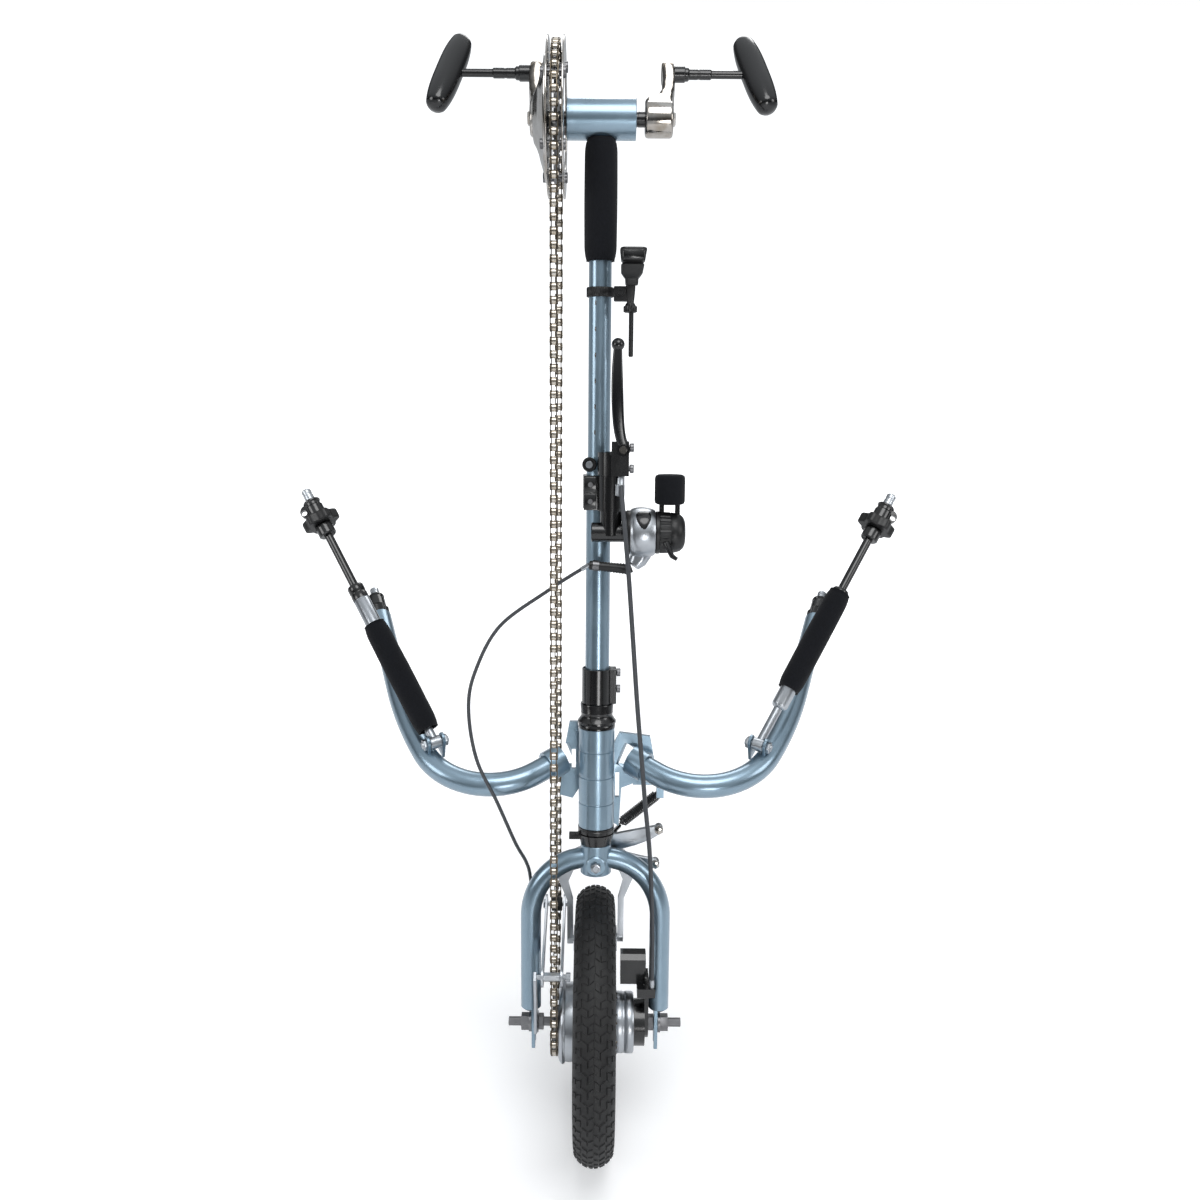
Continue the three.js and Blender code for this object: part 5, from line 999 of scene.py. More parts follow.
# %% Struts
for side, word in SIDES:
    centre = Vector((side * LUG_CENTRE.x, LUG_CENTRE.y, LUG_CENTRE.z))
    way = strut_way(side)
    place = standing(centre, way, (side, 0, 0))
    node = word + "_strut_tube"
    eye_frame = lug_frame(side)[0]
    finished(word + "_strut_eye", spun([
        (4.3, -6.2), (6.4, -6.2), (7, -5.6), (7, 5.6), (6.4, 6.2), (4.3, 6.2),
    ], 40), node, place=eye_frame, hides=(node,))
    finished(word + "_lower_rod", spun([(0, 5), (STRUT_ROD, 5), (STRUT_ROD, 48), (0, 48)], 32), node,
             place=place)
    finished(word + "_barrel", spun([
        (0, 46), (5.4, 46), (7.6, 47.2), (STRUT_RADIUS, 50), (STRUT_RADIUS, 181.4), (8.6, 182), (8.6, 183),
        (5.2, 183), (5.2, 60), (0, 60),
    ]), node, place=place)
    finished(word + "_socket", spun([
        (5.2, 183), (9.3, 183), (9.3, 189), (8.8, 189.8), (8.8, 191), (9.3, 191.8), (9.3, 198.6), (8.4, 200),
        (5.2, 200),
    ]), node, finish="black_paint", place=place)
    low, high = SLEEVES[word]
    foam_sleeve(word + "_sleeve", word + "_strut_foam", place, low, high, 13.75, 9.3, 0.4, 7 * side)
    node = word + "_strut_rod"
    rod_end = STRUT_LENGTH - KNOB_DROP - COLLAR_LENGTH
    finished(word + "_sliding_rod", spun([
        (0, 120), (STRUT_ROD, 120), (STRUT_ROD, rod_end + 1), (0, rod_end + 1),
    ], 32), node, finish="black_paint", place=place, hides=(node,))
    finished(word + "_rod_collar", spun([
        (0, rod_end), (8.8, rod_end), (10, rod_end + 1.4), (10, rod_end + 12.8), (9.2, rod_end + 13.7),
        (0, rod_end + 13.7),
    ]), node, finish="black_paint", place=place)
    end_clamp(word + "_strut", node, centre + way * (STRUT_LENGTH + 6.3), way, side, 13.2)
    lobed_knob(word + "_strut_knob", word + "_strut_knob", centre + way * (STRUT_LENGTH - KNOB_DROP), way,
               21, 12, 3.2)
print("struts and clamps made")

# %% [markdown]
# The chain is a bush roller chain of half-inch pitch. Its rollers lie on three toothed
# wheels and in the straight runs between them, so the loop is laid out first, roller by
# roller. Every link is then two plates with round ends, and every joint a pin in a roller.

# %% The chain's path
CHAIN_PITCH = 12.7
CHAIN_PLANE = -44.0
RING, SPROCKET, JOCKEY = (34, (0.0, MAST_TOP)), (16, (0.0, 0.0)), (11, (56.4497, 113.57738))


def tooth_turn(wheel):
    return math.tau / wheel[0]


def pitch_radius(wheel):
    return CHAIN_PITCH / (2 * math.sin(tooth_turn(wheel) / 2))


def seat(wheel, angle):
    """The middle of a roller that lies on a wheel, as [rearward, up]."""
    radius = pitch_radius(wheel)
    return Vector((wheel[1][0] + radius * math.cos(angle), wheel[1][1] + radius * math.sin(angle)))


def touching(wheel, following):
    line = Vector(following[1]) - Vector(wheel[1])
    difference = pitch_radius(wheel) - pitch_radius(following)
    return math.atan2(line.y, line.x) - math.pi / 2 + math.asin(difference / line.length)


def landing(last, wheel, earliest):
    """The first seat that a straight run of whole pitches from the last roller reaches."""
    pitches = math.ceil((last - seat(wheel, earliest)).length / CHAIN_PITCH)
    low, high = earliest, earliest + tooth_turn(wheel) * 1.5
    for _ in range(50):
        middle = (low + high) / 2
        if (last - seat(wheel, middle)).length < pitches * CHAIN_PITCH:
            low = middle
        else:
            high = middle
    return low, pitches


def straight_run(start, end, pitches):
    return [start.lerp(end, k / pitches) for k in range(1, pitches)]


def chain_path():
    stops = [RING, SPROCKET, JOCKEY, RING]
    angle = round(touching(JOCKEY, RING) / tooth_turn(RING)) * tooth_turn(RING)
    rollers, phases = [], []
    for wheel, following in zip(stops, stops[1:]):
        phases.append(angle)
        floor_turn = angle - tooth_turn(wheel)
        leave = floor_turn + (touching(wheel, following) - floor_turn) % math.tau
        while angle <= leave + tooth_turn(wheel) / 2:
            rollers.append(seat(wheel, angle))
            angle += tooth_turn(wheel)
        if wheel is JOCKEY:
            break
        angle, pitches = landing(rollers[-1], following, leave - tooth_turn(following) / 2)
        rollers += straight_run(rollers[-1], seat(following, angle), pitches)
    closing = round((rollers[0] - rollers[-1]).length / CHAIN_PITCH)
    rollers += straight_run(rollers[-1], rollers[0], closing)
    return rollers, phases


ROLLERS, PHASES = chain_path()
print("chain rollers:", len(ROLLERS))

# %% Chain links
PLATE_END = 4.1
PLATE_WAIST = 2.9
LINK_PLATES = ((2.05, 2.95), (3.05, 4.0))
ROLLER_RADIUS = 3.95
ROLLER_HALF = 1.9
PIN_RADIUS = 1.75
PIN_HALF = 4.35


def link_outline():
    """A link plate seen from the side: two round ends and a waist, along its own X axis."""
    points = []
    for centre, first in ((CHAIN_PITCH / 2, -math.pi / 2), (-CHAIN_PITCH / 2, math.pi / 2)):
        for i in range(11):
            turn = first + math.pi * i / 10
            points.append((centre + PLATE_END * math.cos(turn), PLATE_END * math.sin(turn)))
        points.append((0, PLATE_WAIST * (1 if first < 0 else -1)))
    return points


def raised(bm, outline, low, high, place):
    """Two copies of an outline, joined by a wall and closed at both ends."""
    skinned(bm, [[place @ Vector((u, v, w)) for u, v in outline] for w in (low, high)])


def beside(x, rear, up, turn=0.0):
    """In millimetres: Z runs across the wheel, and X and Y lie in the chain's plane."""
    frame_at = Matrix(((0, 0, 1, x), (1, 0, 0, rear), (0, 1, 0, up), (0, 0, 0, 1)))
    return Matrix.Scale(MM, 4) @ frame_at @ Matrix.Rotation(turn, 4, "Z")


def chain():
    plates, rollers, pins = bmesh.new(), bmesh.new(), bmesh.new()
    outline = link_outline()
    for i, here in enumerate(ROLLERS):
        ahead = ROLLERS[(i + 1) % len(ROLLERS)]
        way, middle = ahead - here, (here + ahead) / 2
        place = beside(CHAIN_PLANE, middle.x, middle.y, math.atan2(way.y, way.x))
        low, high = LINK_PLATES[(i + 1) % 2]
        for side in (-1, 1):
            raised(plates, outline, *sorted((side * low, side * high)), place)
        at_roller = beside(CHAIN_PLANE, here.x, here.y)
        raised(rollers, ring_points(ROLLER_RADIUS, 18), -ROLLER_HALF, ROLLER_HALF, at_roller)
        raised(pins, ring_points(PIN_RADIUS, 10), -PIN_HALF, PIN_HALF, at_roller)
    for name, bm, finish in (
        ("chain_plates", plates, "chain_steel"),
        ("chain_rollers", rollers, "roller_steel"),
        ("chain_pins", pins, "roller_steel"),
    ):
        finished(name, bm, "chain", finish=finish, place=STEER, hides=("chain",))


chain()

# %% [markdown]
# Each toothed wheel has a round seat for every roller and a narrow tooth between two
# seats, worked out from the pitch, so the rollers of the chain lie in them exactly.

# %% Toothed wheels
TOOTH = 2.8
TOOTH_RISE = 2.1
TOOTH_TIP = 0.8
SEAT = 4.1


def toothed(wheel, phase):
    """The outline of a toothed wheel about its own middle."""
    points = []
    radius = pitch_radius(wheel)
    for i in range(wheel[0]):
        centre = phase + i * tooth_turn(wheel)
        spot = Vector((radius * math.cos(centre), radius * math.sin(centre)))
        inward = -spot.normalized()
        for k in range(7):
            turn = math.radians(-60 + 20 * k)
            points.append(spot + Matrix.Rotation(turn, 2) @ inward * SEAT)
        tip = centre + tooth_turn(wheel) / 2
        for half in (-TOOTH_TIP, TOOTH_TIP):
            reach = radius + TOOTH_RISE
            points.append(Vector((reach * math.cos(tip) - half * math.sin(tip),
                                  reach * math.sin(tip) + half * math.cos(tip))))
    return [tuple(point) for point in points]


RING_BOLTS = ring_points(55, 5)


def sideways_plate(name, node, outline, low, high, centre, **more):
    return plate(name, node, outline, low, high, place_at(0, *centre) @ SIDEWAYS, **more)


def tooth_plate(name, node, wheel, phase, holes, bevel=0.0003):
    sideways_plate(name, node, toothed(wheel, phase), CHAIN_PLANE - TOOTH / 2, CHAIN_PLANE + TOOTH / 2,
                   wheel[1], holes=holes, bevel=bevel)


def ring_plates():
    holes = [ring_points(4.3, 16, spot) for spot in RING_BOLTS]
    tooth_plate("chainring_plate", "chainring", RING, PHASES[0], (ring_points(47, 72), *holes))
    for node, low in (("outer_guard", -52.6), ("inner_guard", -37.0)):
        piece = sideways_plate(node + "_disc", node, ring_points(75, 144), low, low + 1.6, RING[1],
                               holes=(ring_points(48, 72), *holes), finish="chrome", bevel=0.0005)
        piece.modifiers["edges"].segments = 3


ring_plates()
tooth_plate("sprocket_plate", "sprocket", SPROCKET, PHASES[1], (ring_points(5.3, 24),))
finished("driver", spun([
    (5.3, -45), (13.6, -45), (15.6, -43), (15.6, -38), (15.6, -32.3), (5.3, -32.3),
]), "sprocket", place=STEER @ ACROSS, hides=("sprocket",))


def jockey():
    tooth_plate("jockey_plate", "jockey_wheel", JOCKEY, PHASES[2], (ring_points(3.3, 20),), 0.0004)
    finished("jockey_boss", spun([(3.3, -50), (7.2, -50), (8, -49), (8, -39), (7.2, -38), (3.3, -38)]),
             "jockey_wheel", place=place_at(0, *JOCKEY[1]) @ ACROSS, hides=("jockey_wheel",))


jockey()

# %% [markdown]
# The cranks are forged and plated. An arm is a row of rounded sections: thick at the
# boss, thin where it sweeps outward, and wide again at its end. The left crank also
# carries the spider, a turned dome that the ring and both guards are bolted to.

# %% Cranks
CRANK_LENGTH = 152.0
CRANK_ANGLE = math.radians(60.4)
CRANK_TURN = CRANKS @ Matrix.Rotation(-CRANK_ANGLE, 4, "X")
CRANK_END = place_at(0, CRANK_LENGTH * math.sin(CRANK_ANGLE), MAST_TOP + CRANK_LENGTH * math.cos(CRANK_ANGLE))
SWEEP = ((0, 0), (0.14, 0), (0.3, 0.25), (0.5, 0.66), (0.72, 0.94), (0.86, 1), (1, 1))
THICKNESS = ((0, 1), (0.1, 1), (0.26, 0.12), (0.4, 0), (1, 0))
ARM_THICK = 13.0
CRANK_OUT = 70
CRANK_SWEEP = 7


def between(table, share):
    for (u, a), (v, b) in zip(table, table[1:]):
        if u <= share <= v:
            return a + (b - a) * (3 - 2 * (share - u) / (v - u)) * ((share - u) / (v - u)) ** 2
    return table[-1][1]


def rounded_box(half_x, half_y, corner, steps=5):
    points = []
    for k, (sx, sy) in enumerate(((1, 1), (-1, 1), (-1, -1), (1, -1))):
        for i in range(steps + 1):
            turn = math.pi / 2 * (k + i / steps)
            points.append((sx * (half_x - corner) + corner * math.cos(turn),
                           sy * (half_y - corner) + corner * math.sin(turn)))
    return points


def lofted(sections):
    """A solid through sections of equal point count, given as [height, points in X and Y]."""
    rows = [[Vector((x, y, height)) * MM for x, y in points] for height, points in sections]
    return skinned(bmesh.new(), rows)


def boxes(x, back, tiers):
    """Rounded boxes above each other round one upright line, each [height, box sizes]."""
    return [(up, [(x + a, back + b) for a, b in rounded_box(*sizes)]) for up, sizes in tiers]


def crank(side, word, boss_inner, boss_outer):
    node = word + "_crank"
    sections = []
    for i in range(41):
        share = i / 40
        outer = CRANK_OUT + CRANK_SWEEP * between(SWEEP, share)
        thick = ARM_THICK + (CRANK_OUT - boss_inner - ARM_THICK) * between(THICKNESS, share)
        wide = 17.2 - 5.4 * share - 1.5 * math.sin(math.pi * share) ** 2
        box = rounded_box(thick / 2, wide, min(5.5, thick / 2 - 0.3))
        sections.append((share * CRANK_LENGTH, [(side * (outer - thick / 2) + x, y) for x, y in box]))
    # The bar and the eye take the brown-tinted chrome, a painted reflection
    finished(word + "_crank_bar", lofted(sections), node, finish="painted_reflection_chrome", place=CRANK_TURN,
             hides=(node,), sharp=math.radians(50))
    ends = [
        ("boss", CRANKS, boss_inner, boss_outer, 17.5, 3.2),
        ("eye", CRANK_END, 64, 77, 12, 2.6),
    ]
    for part, place, low, high, radius, lip in ends:
        low, high = sorted((side * low, side * high))
        profile = [(0, low), *arc_corner(radius, low, lip, -1), *arc_corner(radius, high, lip, 1), (0, high)]
        finished(word + "_crank_" + part, spun(profile, 56), node, place=place @ ACROSS,
                 finish="chrome" if part == "boss" else "painted_reflection_chrome")


def arc_corner(radius, height, lip, way):
    """A rounded rim of a turned boss, from its face to its wall or back."""
    points = []
    for i in range(6):
        turn = math.pi / 2 * i / 5
        points.append((radius - lip + lip * math.sin(turn), height - way * (lip - lip * math.cos(turn))))
    return points if way < 0 else points[::-1]


crank(-1, "left", 53, CRANK_OUT)
crank(1, "right", 42.6, CRANK_OUT)
finished("spider", spun([
    (0, -53), (59, -53), (60, -53.6), (60, -54.6), (59, -55.4), (54, -56), (48, -57.6), (40, -60),
    (34, -61.4), (28, -63.6), (23, -66.4), (20, -67), (0, -67),
], 72), "left_crank", place=CRANKS @ ACROSS, hides=("left_crank",))
for back, up in RING_BOLTS:
    finished("ring_bolt", spun([
        (0, -57.5), (2.4, -57.5), (2.4, -58.3), (4.6, -58.3), (5, -57.8), (5, -53), (4, -53), (4, -35.4),
        (5.4, -35.4), (5.4, -33.8), (4.8, -33.4), (0, -33.4),
    ], 20), "left_crank", finish="dark_steel",
             place=place_at(0, back, MAST_TOP + up) @ ACROSS)
finished("spindle", spun([
    (0, -66.5), (6, -66.5), (6, -62), (7.5, -62), (7.5, 34), (7.2, 34.3), (7.2, 36), (7.5, 36.3),
    (7.5, 66), (0, 66),
], 36), "crank_spindle", place=CRANKS @ ACROSS, hides=("crank_spindle",), finish="black_paint")
for low, high in ((-72.6, -67), (66, 72.6)):
    finished("crank_bolt", hexagon(7, low, high), "crank_spindle", finish="chrome", place=CRANKS @ ACROSS)

# %% [markdown]
# Each handle is a stepped black spindle screwed into the crank's eye and a barrel of
# glossy moulded rubber that turns on it. The barrel is fullest in the middle.

# %% Handles
HANDLE_OUT = 165.0
GRIP_HALF = 56.0
GRIP_LEAN = math.radians(12)
GRIP_SLOPE = math.radians(37.7)


def grip_profile():
    points = [(0, -GRIP_HALF)]
    for i in range(41):
        share = i / 20 - 1
        radius = 15 - 5.2 * abs(share) ** 3.2
        end = max(0, (abs(share) - 0.9) / 0.1)
        points.append((radius * math.sqrt(max(0.04, 1 - 0.85 * end * end)), share * (GRIP_HALF - 0.3)))
    return points + [(0, GRIP_HALF)]


for side, word in SIDES:
    stepped = [
        (0, 66), (6, 66), (6, 77.3), (7.9, 77.3), (8.5, 78), (8.5, 88.6), (7.9, 89.4), (7.2, 89.6),
        (7.2, 92.4), (5.5, 94), (5.5, 103), (5.1, 103.4), (5.1, 105), (5.5, 105.4), (5.5, 117),
        (4.3, 118), (4.3, 164), (0, 164),
    ]
    profile = [(radius, side * out) for radius, out in stepped]
    finished(word + "_spindle", spun(profile, 28), word + "_handle_spindle", place=CRANK_END @ ACROSS,
             hides=(word + "_handle_spindle",))
    tilt = Vector((-side * math.sin(GRIP_LEAN), math.cos(GRIP_LEAN) * math.sin(GRIP_SLOPE),
                   math.cos(GRIP_LEAN) * math.cos(GRIP_SLOPE)))
    place = CRANK_END @ standing((side * HANDLE_OUT, 0, 0), tilt, (1, 0, 0))
    finished(word + "_grip_barrel", spun(grip_profile(), 56), word + "_grip", place=place,
             hides=(word + "_grip",), sharp=math.radians(60))

# %% [markdown]
# Both cables are stiff housings with a real length, so each is a cord: a smooth line
# through listed points, a round jacket on it, and a metal ferrule at each end.

# %% Cables
BRAKE_ROUTE = [
    (22, -40, 607), (23, -46, 590), (27, -58, 550), (31, -63, 505), (36, -63, 441), (41, -58, 377),
    (47, -49, 312), (51, -40, 268), (57, -29, 211), (60.5, -21, 151), (62, -17.5, 100), (62, -17.5, 50.3),
]
SHIFT_ROUTE = [
    (-9.3, -30, 517), (-28, -26, 505), (-51, -22, 489), (-101, -20, 451), (-126, -26, 405), (-133, -32, 366),
    (-125, -35, 313), (-104, -32, 265), (-86, -18, 215), (-76, 4, 185), (-72, 15.5, 162), (-69, 17, 120),
    (-68, 16.5, 80), (-68, 16, 34.3),
]


def smooth_line(route, steps=12):
    """Points along a smooth line that passes through every point of the route."""
    spots = [leaning(*point) for point in route]
    spots = [spots[0] * 2 - spots[1], *spots, spots[-1] * 2 - spots[-2]]
    points = []
    for a, b, c, d in zip(spots, spots[1:], spots[2:], spots[3:]):
        for i in range(steps):
            t = i / steps
            points.append(0.5 * (2 * b + (c - a) * t + (2 * a - 5 * b + 4 * c - d) * t * t
                                 + (3 * b - a - 3 * c + d) * t ** 3))
    return points + [spots[-2]]


def cable(node, route, radius):
    points = smooth_line(route)
    length = sum((b - a).length for a, b in zip(points, points[1:]))
    piece = finished(node + "_jacket", swept(points, radius * MM, 16), node, finish="cable_jacket",
                     hides=(node,))
    for near, far in ((points[0], points[1]), (points[-1], points[-2])):
        way = (far - near).normalized()
        bm = swept([near - way * 0.0002, near + way * 0.009], (radius + 0.5) * MM, 20)
        finished(node + "_ferrule", bm, node, "cable_jacket", "satin_alloy")
    print(node, "length", round(length, 3))


cable("brake_cable", BRAKE_ROUTE, 2.4)
cable("shift_cable", SHIFT_ROUTE, 1.9)

# %% [markdown]
# The controls sit on a short upright bar beside the mast. The bar, its stub and the two
# clamps are turned or bored parts, so they are spun and raised here with true rounds.

# %% Control bar and clamps
BAR_X, BAR_FRONT, STUB_UP = 12.6, -25.0, 550.0
BAR = place_at(BAR_X, BAR_FRONT, 0)
STUB = place_at(0, BAR_FRONT, STUB_UP) @ ACROSS
EAR_SIZE = (0.0078, 0.0075, 0.0373)
upright("control_post", "control_bar", [
    (0, 547), (10.5, 547), (11.1, 547.6), (11.1, 626.8), (10.2, 628), (0, 628),
], place=BAR)
upright("control_stub", "control_bar", [(0, -7), (9.2, -7), (10, -6.2), (10, 86), (0, 86)], place=STUB)
upright("stub_plug", "control_bar", [(0, -7.3), (8, -7.3), (8.4, -6.9), (8.4, -6), (0, -6)], 36, place=STUB,
        finish="black_plastic")


def ear_bolt(name, node, x, back, up, length=10.0):
    """A socket bolt across a clamp's ear, with its head on the outer side."""
    finished(name, spun([
        (0, -length), (2.4, -length), (2.4, -0.4), (4, 0), (4.4, 0.5), (4.4, 3.4), (3.9, 4), (2.2, 4),
        (2.2, 1.6), (0, 1.6),
    ], 24), node, finish="dark_steel", place=place_at(x, back, up) @ ACROSS)


def mast_clamp():
    upright("clamp_sleeve", "mast_clamp", [
        (14.7, 365.8), (15.6, 365.8), (16, 366.2), (16, 402.9), (15.6, 403.3), (14.7, 403.3),
    ])
    for low in (-9, 1.5):
        ear = finished("clamp_ear", block(EAR_SIZE), "mast_clamp", place=place_at(16.4, low + 3.75, 384.5))
        bevelled(ear, 0.0012, 3)
    for up in (380.8, 398.425):
        ear_bolt("clamp_bolt", "mast_clamp", 20.6, 0, up)


mast_clamp()

# %% [markdown]
# The twist shifter has a satin body with a dark window, a ribbed grip that turns beside
# it and, on the grip, two posts with a foam cap to turn it by. The grip's ribs come from
# a wave in the radius. A ribbed boot leads its cable out to the left.

# %% Shifter
RIBS = 26
WINDOW_RADIUS = 0.0252
WINDOW_TURN = math.radians(-38)
BOOT_RINGS = 26


def shifter_body():
    upright("shifter_flange", "shifter_body", [
        (10.3, 26.6), (19, 26.6), (21.4, 27.4), (22.4, 29), (22.4, 32.4), (10.3, 32.4),
    ], 64, place=STUB, finish="black_plastic")
    upright("shifter_shell", "shifter_body", [
        (10.3, 32.2), (22.6, 32.2), (24.2, 34), (25.4, 38), (25.8, 44), (25.3, 50), (23.8, 55.4),
        (22.6, 57.4), (21.4, 57.8), (21.4, 51.6), (10.3, 51.6),
    ], 72, place=STUB)
    window = bmesh.new()
    bmesh.ops.create_uvsphere(window, u_segments=28, v_segments=14, radius=1)
    bmesh.ops.scale(window, vec=(0.0096, 0.0014, 0.0118), verts=window.verts)
    for vert in window.verts:
        vert.co.x *= 0.76 + 24 * vert.co.z
        vert.co.y -= WINDOW_RADIUS - math.sqrt(WINDOW_RADIUS ** 2 - vert.co.z ** 2)
    place = place_at(45.2, BAR_FRONT, STUB_UP) @ Matrix.Rotation(WINDOW_TURN, 4, "X")
    finished("shifter_window", window, "shifter_body", finish="gloss_rubber",
             place=place @ Matrix.Translation((0, -WINDOW_RADIUS, 0)) @ Matrix.Rotation(math.pi, 4, "Z"))
    boot = [leaning(34, -30, 515), leaning(30, -30, 513.4)]
    radii = [5.4, 5.4]
    for i in range(BOOT_RINGS + 1):
        share = i / BOOT_RINGS
        boot.append(leaning(30 - 38.8 * share, -30, 513 + 3.8 * share))
        radii.append(5.0 + (0.8 if i % 2 else 0) - 0.9 * share)
    finished("shifter_boot", swept(boot, [radius * MM for radius in radii], 24), "shifter_body",
             finish="black_plastic", sharp=math.radians(60))
    tip = [leaning(x, -30, up) for x, up in ((1, 516), (-5.6, 516.7), (-6.2, 516.8), (-9.2, 517))]
    finished("shifter_adjuster", swept(tip, [0.0055, 0.0055, 0.004, 0.0032], 24), "shifter_body",
             finish="dark_steel")


def shifter_grip():
    sections = []
    for x, radius, depth in (
        (51.9, 20.4, 0), (58, 20.4, 0), (58.6, 21.6, 0), (61.4, 21.6, 0), (62, 20.6, 0.1), (63, 20.6, 0.55),
        (72, 20.3, 0.55), (73, 20.1, 0.1), (73.6, 20.6, 0), (79, 20, 0), (83, 18.6, 0), (86, 15.8, 0),
        (87.5, 12.6, 0), (88, 10.4, 0),
    ):
        sections.append((x, wavy(radius, depth, RIBS, RIBS * 6)))
    finished("shifter_barrel", lofted(sections), "shifter_grip", place=STUB, hides=("shifter_grip",),
             finish="black_plastic", sharp=math.radians(50))
    for x in (64, 80):
        post = spun([(0, 14), (2.6, 14), (2.6, 31), (0, 31)], 20)
        finished("cap_post", post, "shifter_grip", place=place_at(x, BAR_FRONT, STUB_UP))
    cap = spun([
        (0, 29), (12.5, 29), (14.6, 30), (15.4, 32.4), (15.4, 55), (14.6, 57.6), (12.4, 58.8), (0, 58.8),
    ], 48)
    finished("turning_cap", cap, "shifter_grip", finish="foam", place=place_at(72, BAR_FRONT, STUB_UP),
             sharp=math.radians(60))
    thumb = [leaning(68, -44, 542), leaning(71, -47, 535), leaning(74, -49, 529), leaning(79, -50, 526)]
    finished("thumb_tab", swept(thumb, [0.0034, 0.003, 0.0026, 0.002], 16), "shifter_grip")


shifter_body()
shifter_grip()

# %% [markdown]
# The brake lever is a cast blade that thins and curves toward the mast and ends in a
# ball. It is a row of rounded sections set along a gentle curve. A knurled barrel under
# it adjusts the cable.

# %% Brake lever, perch and clamp details
LEVER_PIVOT = (24, -40, 634)


def along_curve(name, node, line, sizes, front=(1, 0, 0), corner=None, **more):
    """Rounded boxes, as [half width, half depth], set across a line of points in millimetres."""
    line = [Vector(point) for point in line]
    rows = []
    for i, (point, (half_x, half_y)) in enumerate(zip(line, sizes)):
        way = (line[min(i + 1, len(line) - 1)] - line[max(i - 1, 0)]).normalized()
        place = standing(point, way, front)
        box = rounded_box(half_x, half_y, corner or min(half_x, half_y) * 0.75)
        rows.append([place @ (Vector((x, y, 0)) * MM) for x, y in box])
    finished(name, skinned(bmesh.new(), rows), node, place=STEER, **more)


def brake_lever():
    line, sizes = [], []
    for i in range(31):
        share = i / 30
        line.append((19.4 - 3.6 * share + 2.2 * share ** 4 + 4 * (1 - share) ** 8,
                     -43 - 4.5 * math.sin(math.pi * share * 0.8), 640 + 96 * share))
        sizes.append((5.2 - 1.2 * share ** 3 + 0.9 * math.sin(math.pi * share), 3.6 - 0.9 * share))
    along_curve("lever_blade", "brake_lever", line, sizes, hides=("brake_lever",), sharp=math.radians(60))
    ball = bmesh.new()
    bmesh.ops.create_uvsphere(ball, u_segments=32, v_segments=18, radius=0.0064)
    finished("lever_ball", ball, "brake_lever", place=place_at(*line[-1]))
    hub = spun([(0, -6), (6.4, -6), (7, -5.4), (7, 5.4), (6.4, 6), (0, 6)], 40)
    middle = place_at(*LEVER_PIVOT) @ ALONG
    finished("lever_hub", hub, "brake_lever", place=middle)
    foot = [LEVER_PIVOT, (24, -42, 638), (23, -43, 641.5)]
    along_curve("lever_foot", "brake_lever", foot, [(6, 4), (6, 4), (5.4, 3.7)])
    finished("lever_pivot_screw", spun([(0, -9), (3.6, -9), (4, -8.4), (4, -6), (0, -6)], 24), "brake_lever",
             finish="chrome", place=middle)


brake_lever()


def perch_details():
    knurls = [(height, wavy(radius, depth, 24, 96)) for height, radius, depth in (
        (-6, 3.6, 0), (-5.4, 4.3, 0.25), (5.4, 4.3, 0.25), (6, 3.6, 0), (12, 3, 0))]
    finished("cable_barrel", lofted(knurls), "lever_perch", finish="satin_alloy",
             place=place_at(21.5, -41, 594))
    for x, back, up, length in ((31, -36, 615, 8), (31, -36, 636, 6)):
        ear_bolt("perch_bolt", "lever_perch", x, back, up, length)
    eye = place_at(-9.5, -18, 618) @ ALONG
    finished("clamp_eye", spun([(0, -4), (6.6, -4), (7.4, -3.2), (7.4, 4), (0, 4)], 40), "height_clamp",
             place=eye)
    finished("clamp_eye_bolt", spun([
        (0, -6.4), (1.4, -6.4), (1.6, -5), (1.8, -6.4), (3.2, -6.4), (3.6, -6), (3.6, -3.8), (0, -3.8),
    ], 28), "height_clamp", finish="satin_alloy", place=eye)


perch_details()

# %% Shifter chin
CHIN_LINE = [(46, -22, 534), (43.6, -24, 528), (40.4, -27, 521.4), (36.6, -29, 516.4)]
along_curve("shifter_chin", "shifter_body", CHIN_LINE, [(11, 11), (10.6, 10.4), (9, 8.6), (6, 5.6)],
            sharp=math.radians(60))

# %% [markdown]
# The centring spring is close-wound wire with a hook at each end. Its line is a helix
# between two straight ends, and the last turns shrink into the hooks.

# %% Centring spring
SPRING_TURNS = 24
SPRING_RADIUS = 5.2
SPRING_WIRE = 0.95
SPRING_HOOK = 2.6
TURN_STEPS = 16


def spring_ends():
    """The two ends of the solid spring's own mesh, in the leaning frame and in millimetres."""
    back = STEER.inverted()
    spots = [back @ vert.co / MM for vert in NODES["centring_spring"].data.vertices]
    low = min(spots, key=lambda spot: spot.x)
    high = max(spots, key=lambda spot: spot.x)
    return low, high


def centring_spring():
    low, high = spring_ends()
    frame_at = standing(low, high - low, (0, 1, 0))
    length = (high - low).length
    line = [Vector((0, 0, 0.6))]
    steps = SPRING_TURNS * TURN_STEPS
    for i in range(steps + 1):
        share = i / steps
        reach = SPRING_RADIUS * min(1, share * 14 + 0.15, (1 - share) * 14 + 0.15)
        turn = math.tau * SPRING_TURNS * share
        line.append(Vector((reach * math.cos(turn), reach * math.sin(turn),
                            SPRING_HOOK + (length - 2 * SPRING_HOOK) * share)))
    line.append(Vector((0, 0, length - 0.6)))
    points = [STEER @ frame_at @ (spot * MM) for spot in line]
    finished("spring_wire", swept(points, SPRING_WIRE * MM, 8), "centring_spring", hides=("centring_spring",),
             sharp=math.radians(70))


centring_spring()

# %% [markdown]
# The lamp is a moulded case in three tiers that widen upward, with a smooth lens let into
# its front. It slides on a foot beside the mast.

